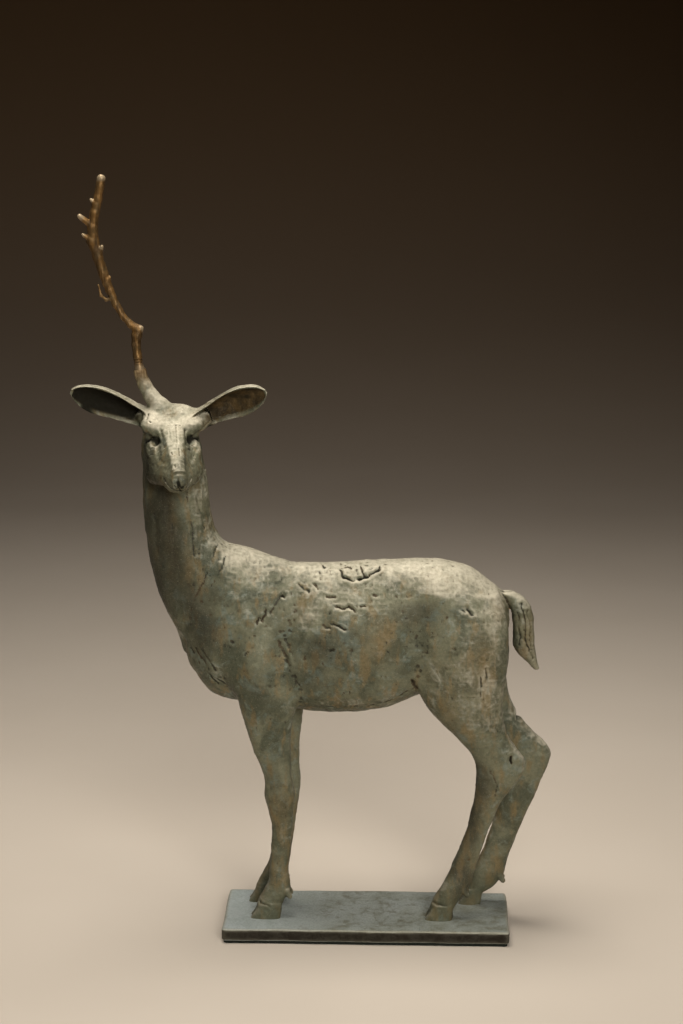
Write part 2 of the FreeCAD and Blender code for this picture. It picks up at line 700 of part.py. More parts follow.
def add_collars(parts, cavity):
    """The sleeves inside the neck's two seams."""
    core = trunk(WALL + COLLAR).fuse(neck(WALL + COLLAR))
    parts["neck_joint_collar"] = sleeve(cavity, core, along_neck(-COLLAR_REACH, COLLAR_REACH))
    level = above(HEAD_SEAM_Z - COLLAR_REACH).common(below(HEAD_SEAM_Z + 0.5 * COLLAR_REACH))
    parts["head_joint_collar"] = sleeve(neck(WALL), neck(WALL + COLLAR), level)


def build():
    parts = {"base_plate": base_plate(), "base_pad": base_pad(), "hoof_studs": hoof_studs(),
             "hoof_washers": hoof_washers(), "hoof_nuts": hoof_nuts()}
    stubs, leg_dowels = add_legs(parts)
    tail_dowel = add_tail(parts)

    outer = trunk().fuse(neck())
    cavity = trunk(WALL).fuse(neck(WALL))
    add_collars(parts, cavity)
    head_end = along_neck(0.0, 2 * FAR)
    torso = outer.cut(head_end).fuse(stubs).cut(cavity).cut(tail_dowel)
    for dowel in leg_dowels:
        torso = torso.cut(dowel)
    torso, torso_plugs = plugged(torso, TORSO_PLUGS)

    whole_head = solid_head()
    neck_length = outer.common(head_end).common(below(HEAD_SEAM_Z)).cut(cavity)
    neck_length, neck_plugs = plugged(neck_length, [NECK_PLUG])
    head = without_core(whole_head)

    ear_pins = []
    for name, (root, tip, across) in EARS.items():
        pin = ear_pin(root, tip)
        parts[name] = one_solid(ear(root, tip, across).cut(whole_head).cut(pin))
        head = head.cut(pin)
        ear_pins.append(pin)

    stem_pin = antler_pin()
    parts["antler"] = antler(stem_pin)
    parts["antler_pin"] = stem_pin
    parts["ear_pins"] = ear_pins
    parts["core_plugs"] = torso_plugs + neck_plugs
    parts["torso_shell"] = one_solid(torso)
    parts["neck_shell"] = one_solid(neck_length.cut(whole_head))
    parts["head_shell"] = one_solid(head.cut(stem_pin))
    return parts


def main():
    os.makedirs("parts", exist_ok=True)
    for name, shape in build().items():
        if isinstance(shape, list):
            shape = Part.makeCompound(shape)
        state = "valid" if shape.isValid() else "NOT VALID"
        print(f"{name:20s} solids {len(shape.Solids)}  volume {shape.Volume / 1000:8.2f} cm3  {state}")
        shape.exportStep(f"parts/{name}.step")


main()
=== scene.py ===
"""Looks for the bronze deer statuette: sculpted castings, patina, soft light and the camera.

Lengths are in millimetres until a mesh is made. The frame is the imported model's: +Z up, the deer's body
faces -X, and its left side and its face are towards -Y. "Side" is -1 for its left and +1 for its right.
"""
import json
import math

import bpy
import numpy as np
import openvdb
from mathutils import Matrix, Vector


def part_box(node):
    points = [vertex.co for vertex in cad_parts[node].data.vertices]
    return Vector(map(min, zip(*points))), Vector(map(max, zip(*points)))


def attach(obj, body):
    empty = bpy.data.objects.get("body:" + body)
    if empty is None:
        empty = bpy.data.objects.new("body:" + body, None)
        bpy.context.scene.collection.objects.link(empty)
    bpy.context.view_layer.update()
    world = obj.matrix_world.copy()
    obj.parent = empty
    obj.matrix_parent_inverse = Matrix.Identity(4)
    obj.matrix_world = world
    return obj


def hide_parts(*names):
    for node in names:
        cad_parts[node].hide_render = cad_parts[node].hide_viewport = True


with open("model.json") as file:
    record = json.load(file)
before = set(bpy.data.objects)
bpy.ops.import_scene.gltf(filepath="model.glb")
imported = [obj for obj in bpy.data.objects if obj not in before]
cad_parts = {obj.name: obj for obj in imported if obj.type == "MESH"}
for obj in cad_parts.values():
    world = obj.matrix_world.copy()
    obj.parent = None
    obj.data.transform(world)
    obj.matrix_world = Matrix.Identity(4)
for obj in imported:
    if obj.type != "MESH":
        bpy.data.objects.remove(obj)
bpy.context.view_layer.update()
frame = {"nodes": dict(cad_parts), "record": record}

MM = 0.001


def corners(node):
    """Lowest and highest corner of a node, in mm."""
    low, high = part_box(node)
    return np.array(low) / MM, np.array(high) / MM


PLATE_LOW, PLATE_HIGH = corners("base_plate")
PLATE_TOP = float(PLATE_HIGH[2])
MIDPLANE_Y = 5.0

# ---------------------------------------------------------------- the castings' stations

# Torso: x, spine height, underside height, half width, how much fuller the lower half is.
TRUNK = [
    (-152, 262, 244, 6, 0.00),
    (-150, 270, 237, 11, 0.00),
    (-145, 288, 226, 18, 0.00),
    (-137, 308, 213, 23, 0.00),
    (-125, 326, 204.5, 26.5, 0.02),
    (-110, 332.5, 200.5, 29, 0.05),
    (-90, 328.5, 197.5, 30, 0.08),
    (-68, 321, 194.5, 31.5, 0.10),
    (-40, 319.5, 192, 34.5, 0.12),
    (-10, 321, 192.5, 36.5, 0.12),
    (18, 323, 197, 35.5, 0.12),
    (40, 323.5, 206, 33, 0.08),
    (62, 323, 215, 31.5, 0.02),
    (82, 318, 224, 29.5, -0.02),
    (98, 308.5, 234, 26.5, -0.02),
    (109, 300, 243, 21.5, 0.00),
    (115.5, 292, 253, 14, 0.00),
    (118.5, 285, 262, 7, 0.00),
]
# Neck: z, front x, back x, half width.
NECK = [
    (236, -147, -100, 22),
    (250, -154, -94, 25),
    (264, -161, -89, 27),
    (278, -168.5, -86, 27.5),
    (292, -175, -86.5, 27),
    (308, -179.5, -92, 26),
    (320, -182, -101, 25),
    (330, -183.2, -112, 24.4),
    (338, -184.2, -120.5, 24),
    (348, -185.4, -126.8, 23.2),
    (362, -186.4, -130.2, 22),
    (384, -186.6, -133.6, 20.5),
    (404, -185.4, -136.8, 20),
    (422, -181.5, -141, 18.5),
    (438, -172, -150, 10),
]
# Legs: z, front x, back x, half width, distance of the leg's centre from the midplane.
FRONT_LEFT = [
    (13, -96, -76, 6.5, 18.5),
    (20, -94, -74.5, 7, 18.5),
    (28, -92, -70.5, 7.8, 18.5),
    (36, -88, -65.5, 8.2, 18.4),
    (46, -83.6, -65.6, 7.6, 18.2),
    (58, -81.6, -66.4, 6.6, 18),
    (75, -80.8, -64.6, 6.3, 18),
    (94, -80.6, -62.8, 6.8, 18),
    (108, -83.2, -61.6, 8, 18),
    (120, -86, -61.2, 8.8, 18.2),
    (133, -85.7, -62.6, 8.4, 18.4),
    (146, -89, -64.2, 8.4, 18.6),
    (160, -94.5, -64.4, 9.4, 19),
    (175, -99.8, -63.2, 10.5, 19.6),
    (190, -103.5, -61.6, 11.5, 20.3),
    (206, -108, -58, 13, 21),
    (228, -116, -61.5, 13.5, 21.5),
    (250, -117, -70, 11.5, 21.5),
    (268, -110, -80, 7, 21),
]
FRONT_RIGHT = [
    (13, -100.5, -81, 6.5, 19),
    (20, -98, -79.5, 7, 19),
    (28, -95.6, -75, 7.8, 19),
    (36, -91.6, -69.8, 8.2, 18.8),
    (46, -86.6, -68, 7.6, 18.6),
    (58, -82.6, -66.6, 6.6, 18.4),
    (75, -80.2, -64, 6.3, 18.2),
    (94, -79.4, -61.4, 6.8, 18),
    (108, -81.2, -59, 8, 18),
    (120, -83.2, -58.2, 8.8, 18.2),
    (133, -83, -58.6, 8.4, 18.4),
    (146, -86.5, -58.8, 8.4, 18.6),
    (160, -91.5, -58.2, 9.4, 19),
    (175, -96.5, -56.8, 10.5, 19.6),
    (190, -101, -55.8, 11.5, 20.3),
    (206, -105.5, -55.6, 13, 21),
    (228, -114, -60.5, 13.5, 21.5),
    (250, -116, -70, 11.5, 21.5),
    (268, -110, -80, 7, 21),
]
HIND_LEFT = [
    (13, 53, 74, 6.5, 18.4),
    (21, 54.5, 74.5, 7, 18.4),
    (30, 57.5, 79.5, 7.8, 18.4),
    (39, 63, 85.5, 8.2, 18.3),
    (49, 68, 90.5, 7.6, 18.2),
    (62, 73, 94.2, 6.7, 18),
    (80, 80.5, 99.5, 6.4, 18),
    (100, 86.8, 106.5, 6.8, 18),
    (118, 90.4, 114, 7.6, 18),
    (130, 91.8, 122.5, 8.2, 18.2),
    (140, 92.2, 130, 8.6, 18.4),
    (149, 92, 133.4, 8.8, 18.6),
    (157, 89.5, 132, 9, 19),
    (166, 83.5, 125.5, 9.8, 19.6),
    (176, 74.5, 118.8, 11.3, 20.3),
    (188, 63, 115.5, 13.2, 21),
    (200, 52, 113.5, 15, 21.3),
    (214, 43, 114.5, 16.5, 21),
    (232, 41.5, 116.5, 18, 20),
    (254, 46, 118, 18, 18.5),
    (276, 58, 116, 15, 17),
    (296, 74, 108, 8, 15),
]
HIND_RIGHT = [
    (13, 81, 98, 6.5, 19),
    (21, 83.5, 99, 7, 19),
    (29, 86, 110, 7.8, 19),
    (38, 90, 117.5, 8.2, 19),
    (48, 95, 120.5, 7.8, 19),
    (62, 100.8, 124.6, 7.2, 19),
    (80, 106.5, 131, 7, 19),
    (100, 111.8, 139, 7.2, 19),
    (118, 115.8, 147, 7.8, 19),
    (130, 117.3, 151.5, 8.2, 19),
    (142, 117.3, 155.6, 8.6, 19),
    (150, 115.5, 157.2, 8.8, 19),
    (157, 111.5, 153.5, 9, 19.2),
    (166, 104.5, 144.5, 9.8, 19.6),
    (176, 95.5, 135, 11, 20.3),
    (188, 84, 127, 12.6, 21),
    (200, 72, 121.5, 14.3, 21.3),
    (214, 60, 118.7, 16, 21),
    (232, 52, 118, 17.5, 20),
    (254, 52, 118.5, 18, 18.5),
    (276, 60, 116.5, 15, 17),
    (296, 74, 108, 8, 15),
]
# Tail, tip to root: z, front x, back x, half width.
TAIL = [
    (229.5, 141.5, 144.8, 1.6),
    (234, 136.5, 143.6, 3.6),
    (241, 129, 142.6, 6.2),
    (249, 123.4, 141.2, 8),
    (258, 122.2, 140, 9),
    (268, 122, 139.4, 9.4),
    (278, 121, 138.4, 9.2),
    (286, 118, 135.6, 8.6),
    (292, 114, 130, 7.4),
    (296, 110, 123, 5.6),
]
# Each leg: stations, side, toe x and heel x where the hoof meets the plate.
LEGS = {
    "front_left_leg": (FRONT_LEFT, -1, -98.5, -73.5),
    "front_right_leg": (FRONT_RIGHT, 1, -103.0, -79.5),
    "hind_left_leg": (HIND_LEFT, -1, 50.5, 73.0),
    "hind_right_leg": (HIND_RIGHT, 1, 79.5, 99.0),
}
HOOF_HEIGHT = 13.0
CLAW_HALF_WIDTH = 4.4
CLAW_SPREAD = 4.1

# Head: the face line runs from the poll down to the nose.
POLL = np.array((-164.3, 8.0, 454.0))
HEAD_TURN = math.radians(13.0)
FACE_SLOPE = math.radians(34.0)
# Distance down the face line, depth of the top, depth of the jaw, half width, how much fuller the jaw is.
HEAD = [
    (-9, 16, 30, 6, 0),
    (-5, 7, 39, 14.5, 0),
    (3, 0.8, 45, 19.5, 0),
    (14, -0.6, 47, 22, 0),
    (25, 0.6, 47, 22.6, 0.08),
    (35, 1.6, 46, 21.2, 0.24),
    (45, 2.4, 43.5, 19.6, 0.40),
    (56, 2.8, 38.5, 17, 0.48),
    (68, 2.8, 31, 12.6, 0.46),
    (78, 2.8, 25, 9, 0.34),
    (84.5, 4.4, 20.5, 6.6, 0.20),
    (88, 8.5, 16.5, 4.5, 0),
]


# ---------------------------------------------------------------- fields

def stations_at(t, stations):
    """The stations' columns at each t, along a smooth curve through them."""
    table = np.array(stations, np.float64)
    knots, values = table[:, 0], table[:, 1:]
    slopes = np.gradient(values, knots, axis=0)
    i = np.clip(np.searchsorted(knots, t) - 1, 0, len(knots) - 2)
    step = knots[i + 1] - knots[i]
    u = np.clip((t - knots[i]) / step, 0.0, 1.0)[..., None]
    step = step[..., None]
    a, b, da, db = values[i], values[i + 1], slopes[i] * step, slopes[i + 1] * step
    blended = a + u * u * (3 - 2 * u) * (b - a) + u * (1 - u) * ((1 - u) * da - u * db)
    return [blended[..., k].astype(np.float32) for k in range(values.shape[1])]


def ring_distance(u, v, half_u, half_v, power):
    """Rough distance from a superellipse, negative inside."""
    r = ((np.abs(u) / half_u) ** power + (np.abs(v) / half_v) ** power) ** (1.0 / power)
    return np.sqrt(u * u + v * v) * (1.0 - 1.0 / np.maximum(r, 0.02))


def past_ends(distance, t, first, last):
    """Adds the distance beyond the first and last station."""
    beyond = np.maximum(np.maximum(first - t, t - last), 0.0)
    return np.where(beyond > 0, np.hypot(np.maximum(distance, 0.0), beyond), distance)


def soft_union(a, b, blend):
    h = np.maximum(blend - np.abs(a - b), 0.0) / blend
    return np.minimum(a, b) - h * h * blend * 0.25


def soft_cut(a, b, blend):
    """Takes b out of a, with a rounded rim."""
    return -soft_union(-a, b, blend)


def ball(x, y, z, centre, radii):
    """Rough distance from an ellipsoid."""
    px, py, pz = x - centre[0], y - centre[1], z - centre[2]
    r = np.sqrt((px / radii[0]) ** 2 + (py / radii[1]) ** 2 + (pz / radii[2]) ** 2)
    return (r - 1.0) * min(radii)


def limb(x, y, z, a, b, radius_a, radius_b):
    """Distance from a round bar that tapers from a to b."""
    a, b = np.array(a, float), np.array(b, float)
    along = b - a
    t = ((x - a[0]) * along[0] + (y - a[1]) * along[1] + (z - a[2]) * along[2]) / float(along @ along)
    t = np.clip(t, 0.0, 1.0)
    away = np.sqrt((x - a[0] - t * along[0]) ** 2 + (y - a[1] - t * along[1]) ** 2
                   + (z - a[2] - t * along[2]) ** 2)
    return away - (radius_a + t * (radius_b - radius_a))


def trunk_field(x, y, z):
    top, bottom, half, full = stations_at(x, TRUNK)
    v = z - (top + bottom) / 2
    half_v = (top - bottom) / 2
    distance = ring_distance(y - MIDPLANE_Y, v, half * np.maximum(1 - full * v / half_v, 0.25), half_v, 2.25)
    return past_ends(distance, x, TRUNK[0][0], TRUNK[-1][0])


def upright_field(x, y, z, stations, centre_y, power=2.2):
    """A bar that stands upright: stations of z, front x, back x, half width."""
    columns = stations_at(z, stations)
    front, back, half = columns[:3]
    distance = ring_distance(x - (front + back) / 2, y - centre_y, (back - front) / 2, half, power)
    return past_ends(distance, z, stations[0][0], stations[-1][0])


def hoof_field(x, y, z, toe, heel, centre_y):
    """Two claws side by side that lean back as they rise."""
    rise = np.clip((z - PLATE_TOP) / HOOF_HEIGHT, -0.4, 1.2)
    length = heel - toe
    front = toe + length * 0.36 * rise
    back = heel + length * 0.05 * rise
    both = None
    for spread in (-CLAW_SPREAD, CLAW_SPREAD):
        claw = ring_distance(x - (front + back) / 2, y - centre_y - spread * (1 - 0.1 * rise),
                             (back - front) / 2, CLAW_HALF_WIDTH * (1 - 0.12 * rise), 2.5)
        both = claw if both is None else np.minimum(both, claw)
    return np.maximum(both, z - (PLATE_TOP + HOOF_HEIGHT))


def leg_field(x, y, z, name):
    stations, side, toe, heel = LEGS[name]
    centre_y = MIDPLANE_Y + side * stations_at(z, [(s[0], s[4]) for s in stations])[0]
    field = upright_field(x, y, z, stations, centre_y)
    foot_y = MIDPLANE_Y + side * stations[0][4]
    if z.min() < PLATE_TOP + 40:
        field = soft_union(field, hoof_field(x, y, z, toe, heel, foot_y), 2.0)
        fetlock = stations[3]
        for spread in (-1, 1):
            claw = limb(x, y, z, (fetlock[2] - 2.5, foot_y + spread * 4.4, fetlock[0] + 1.0),
                        (fetlock[2] + 0.6, foot_y + spread * 5.0, fetlock[0] - 3.5), 2.6, 1.9)
            field = soft_union(field, claw, 2.0)
    return field


def tail_field(x, y, z):
    return upright_field(x, y, z, TAIL, MIDPLANE_Y)


def head_directions():
    ahead = np.array((math.sin(HEAD_TURN), -math.cos(HEAD_TURN), 0.0))
    up = np.array((0.0, 0.0, 1.0))
    down_face = ahead * math.cos(FACE_SLOPE) - up * math.sin(FACE_SLOPE)
    out_of_face = ahead * math.sin(FACE_SLOPE) + up * math.cos(FACE_SLOPE)
    return down_face, out_of_face, np.array((math.cos(HEAD_TURN), math.sin(HEAD_TURN), 0.0))


DOWN_FACE, OUT_OF_FACE, HEAD_LEFT = head_directions()


def head_coordinates(x, y, z):
    p = (x - POLL[0], y - POLL[1], z - POLL[2])
    return [sum(p[k] * float(axis[k]) for k in range(3))
            for axis in (DOWN_FACE, HEAD_LEFT, -OUT_OF_FACE)]


# Forms of the face on each side: centre (down the face, aside, depth), radii, how softly they blend.
LUMPS = [
    ((22.5, 16.5, 5), (7, 9, 5.6), 4.5),      # brow shelf
    ((10, 13, 5), (9, 9, 6), 7),      # temple
    ((38, 16.5, 28), (18, 6, 12), 9),   # cheek
]
DENTS = [
    ((29.5, 23, 12.4), (4.6, 7.5, 5), 2.2),     # outer corner of the eye
    ((35.5, 14.8, 10.8), (4.2, 3.8, 4.2), 2),     # inner corner of the eye
    ((39, 13, 7.4), (6.5, 2.2, 2.6), 2.6),      # groove from the eye's inner corner
    ((86.4, 3.9, 10.6), (2, 1.3, 1.6), 0.9),      # nostril
]
EYES = [
    ((32.5, 16, 15), (4.2, 4, 3), 1.6),     # eyeball, deep in its socket
    ((38.5, 19, 17), (6, 3.4, 2.4), 3.5),     # lower lid
]


def head_field(x, y, z):
    a, s, d = head_coordinates(x, y, z)
    top, jaw, half, full = stations_at(a, HEAD)
    v = d - (top + jaw) / 2
    half_v = (jaw - top) / 2
    field = ring_distance(s, v, half * np.maximum(1 + full * v / half_v, 0.25), half_v, 2.4)
    field = past_ends(field, a, HEAD[0][0], HEAD[-1][0])

    # Nasal bridge: a flat-topped ridge that narrows towards the nose.
    half_bridge = 8.3 - 0.055 * np.clip(a - 30, 0, 60)
    bridge = ring_distance(s, d - 7.6, half_bridge, 6.2, 3.4)
    bridge = past_ends(bridge, a, 24, 80)
    field = soft_union(field, bridge, 4.0)
    for side in (-1, 1):
        for centre, radii, blend in LUMPS:
            field = soft_union(field, ball(a, s, d, (centre[0], side * centre[1], centre[2]), radii), blend)
        for centre, radii, blend in DENTS:
            field = soft_cut(field, ball(a, s, d, (centre[0], side * centre[1], centre[2]), radii), blend)
        for centre, radii, blend in EYES:
            field = soft_union(field, ball(a, s, d, (centre[0], side * centre[1], centre[2]), radii), blend)
    field = soft_union(field, ball(a, s, d, (83.2, 0, 9.0), (4.2, 4.5, 4.2)), 3.2)          # nose pad
    field = soft_union(field, ball(a, s, d, (78.0, 0, 20.5), (6.5, 6.4, 4.4)), 4.0)         # chin
    mouth_depth = 15.6 + 0.06 * (88 - a)
    mouth = np.maximum(np.abs(d - mouth_depth) - 0.5, 73 - a)
    field = soft_cut(field, mouth, 1.2)

    # Ears, and the stump that the antler grows from.
    for root, tip, across in EARS.values():
        root, tip = np.array(root), np.array(tip)
        neck_of_ear = limb(x, y, z, root + (0, 3, 0), root + (0, 3, 0) + 0.05 * (tip - root), 6.5, 4.5)
        field = soft_union(field, neck_of_ear, 6.0)
        field = soft_union(field, ear_field(root, tip, across)(x, y, z), 3.5)
    for (ax, ay, az, ar), (bx, by, bz, br) in zip(PEDICLE, PEDICLE[1:]):
        field = soft_union(field, limb(x, y, z, (ax, ay, az), (bx, by, bz), ar, br), 5.0)
    return soft_union(field, limb(x, y, z, (-182, 4, 464.5), (-188.6, 1, 470.5), 3.6, 1.3), 2.0)


PEDICLE = [
    (-165, 4, 444, 8),
    (-172, 3.5, 452.5, 6.6),
    (-178.5, 3.5, 460.5, 5.2),
    (-184, 4, 469, 4.6),
    (-187.2, 4.75, 477, 4.1),
    (-188, 5, 482, 3.8),
    (-189.6, 5.5, 492, 3.5),
]

# Broad forms on both flanks: x, z, half length, half height, lean in degrees, height out of the surface.
MASSES = [
    (-101, 288, 17, 36, 14, 2.6),      # shoulder blade
    (-66, 262, 9, 40, -16, -2.6),      # hollow behind the shoulder
    (-88, 232, 17, 22, 10, 2.8),       # upper arm
    (-128, 236, 13, 24, -20, 2.0),     # breast
    (-24, 268, 42, 34, 0, 1.6),        # ribs
    (41, 262, 14, 38, 8, -3.4),        # flank
    (60, 303, 14, 10, 0, 1.8),         # hip
    (86, 262, 22, 30, 0, 1.6),         # thigh
    (103, 282, 10, 14, 0, -1.4),       # behind the hip
    (28, 300, 22, 10, 0, -1.2),        # loin
    (-70, 306, 14, 9, 20, -1.2),       # behind the withers
]


def relieved(field, x, y, z):
    """Pushes the flanks out or in by the broad forms."""
    flank = np.clip((np.abs(y - MIDPLANE_Y) - 8.0) / 12.0, 0.0, 1.0)
    height = 0.0
    for cx, cz, half_x, half_z, lean, amount in MASSES:
        c, s = math.cos(math.radians(lean)), math.sin(math.radians(lean))
        u = ((x - cx) * c + (z - cz) * s) / half_x
        v = ((z - cz) * c - (x - cx) * s) / half_z
        height = height + 1.35 * amount * np.exp(-(u * u + v * v))
    return field - height * flank


def deer_field(x, y, z):
    """Distance from the whole deer's surface, without the antler above its stump."""
    field = trunk_field(x, y, z)
    if z.max() > 232:
        field = soft_union(field, upright_field(x, y, z, NECK, MIDPLANE_Y, 2.15), 14.0)
    for name, leg in LEGS.items():
        front = min(station[1] for station in leg[0]) - 8
        back = max(station[2] for station in leg[0]) + 8
        if z.min() < 300 and x.min() < back and x.max() > front:
            field = soft_union(field, leg_field(x, y, z, name), 7.0)
    if z.min() < 330:
        field = relieved(field, x, y, z)
        if x.max() > 105:
            field = soft_union(field, tail_field(x, y, z), 2.0)
    if z.max() > 380 and x.min() < -120:
        field = soft_union(field, head_field(x, y, z), 4.0)
    return field


# ---------------------------------------------------------------- meshes

def surface(field_of, low, high, voxel):
    """A quad mesh of a field's surface inside a box: points in mm, and quads that face outwards."""
    axes = [np.arange(low[k], high[k] + voxel, voxel, dtype=np.float32) for k in range(3)]
    x, y, z = np.ix_(*axes)
    values = np.clip(np.broadcast_to(field_of(x, y, z), [len(a) for a in axes]), -3 * voxel, 3 * voxel)
    grid = openvdb.FloatGrid(3 * voxel)
    grid.copyFromArray(np.ascontiguousarray(values, np.float32))
    points, quads = grid.convertToQuads()
    points = points.astype(np.float64) * voxel + np.array([a[0] for a in axes])
    quads = quads.astype(np.int64)
    a, b, c, d = (points[quads[:, k]] for k in range(4))
    if np.einsum("ij,ij->", a, np.cross(b - a, c - a)) + np.einsum("ij,ij->", a, np.cross(c - a, d - a)) < 0:
        quads = quads[:, ::-1]
    return biggest(points, quads)


def biggest(points, quads):
    """Only the largest connected piece, so that nothing floats."""
    label = np.arange(len(points))
    while True:
        low = label[quads].min(axis=1)
        before = label.copy()
        for k in range(4):
            np.minimum.at(label, quads[:, k], low)
        label = label[label]
        if np.array_equal(label, before):
            break
    counts = np.bincount(label[quads[:, 0]], minlength=len(points))
    quads = quads[label[quads[:, 0]] == counts.argmax()]
    used, quads = np.unique(quads, return_inverse=True)
    return points[used], quads.reshape(-1, 4)


def point_normals(points, quads):
    """Smooth outward normals, one per point."""
    across = np.cross(points[quads[:, 2]] - points[quads[:, 0]], points[quads[:, 3]] - points[quads[:, 1]])
    total = np.zeros_like(points)
    for k in range(4):
        for axis in range(3):
            total[:, axis] += np.bincount(quads[:, k], across[:, axis], len(points))
    return total / np.maximum(np.linalg.norm(total, axis=1, keepdims=True), 1e-9)


def smoothed(values, quads, rounds):
    """Values averaged over neighbours again and again."""
    values = values.copy()
    count = len(values)
    share = np.zeros(count)
    for k in range(4):
        share += 2.0 * np.bincount(quads[:, k], minlength=count)
    share = np.maximum(share, 1.0)
    columns = values if values.ndim == 2 else values[:, None]
    for _ in range(rounds):
        for c in range(columns.shape[1]):
            total = np.zeros(count)
            for k in range(4):
                near = columns[quads[:, k - 1], c] + columns[quads[:, (k + 1) % 4], c]
                total += np.bincount(quads[:, k], near, count)
            columns[:, c] = 0.5 * columns[:, c] + 0.5 * total / share
    return values


def cut(points, quads, planes):
    """Keeps what lies on the positive side of each plane (normal, offset, where the plane counts).
    Points just across a plane slide along the surface onto it, so that the cut is a clean line."""
    normals = point_normals(points, quads)
    for normal, offset, region in planes:
        height = np.where(region(points), points @ normal - offset, 1.0)
        quads = quads[(height[quads] > 0.02).any(axis=1)]
        edge = np.unique(quads[height[quads] <= 0.02])
        along = normal - normals[edge] * (normals[edge] @ normal)[:, None]
        reach = np.maximum(along @ normal, 0.6)
        points[edge] -= along * (height[edge] / reach)[:, None]
        points[edge] -= normal * (points[edge] @ normal - offset)[:, None]
    return points, quads


def rims(quads):
    """The open rims of a mesh, each as a ring of point numbers."""
    edges = np.concatenate([np.stack([quads[:, k], quads[:, (k + 1) % 4]], 1) for k in range(4)])
    size = int(quads.max()) + 1
    codes = edges[:, 0] * size + edges[:, 1]
    back = edges[:, 1] * size + edges[:, 0]
    following = dict(edges[~np.isin(codes, back)].tolist())
    rings = []
    while following:
        start, at = following.popitem()
        ring = [start]
        while at != start and at in following:
            ring.append(at)
            at = following.pop(at)
        rings.append(ring)
    return rings


# ---------------------------------------------------------------- noise and tool marks

LATTICE = 32


def noise(points, size, seed):
    """Smooth random values between -1 and 1 that change over about this size in mm."""
    table = np.random.RandomState(seed).uniform(-1, 1, (LATTICE, LATTICE, LATTICE))
    q = points / np.array(size) + seed * 3.7
    cell = np.floor(q).astype(int)
    f = q - cell
    f = f * f * f * (f * (f * 6 - 15) + 10)
    total = 0.0
    for corner in range(8):
        step = np.array((corner & 1, corner >> 1 & 1, corner >> 2 & 1))
        weight = np.prod(np.where(step, f, 1 - f), axis=1)
        i = (cell + step) % LATTICE
        total = total + weight * table[i[:, 0], i[:, 1], i[:, 2]]
    return total


def ridged(points, size, seed):
    """Noise with sharp crests."""
    return 1.0 - 2.0 * np.abs(noise(points, size, seed))


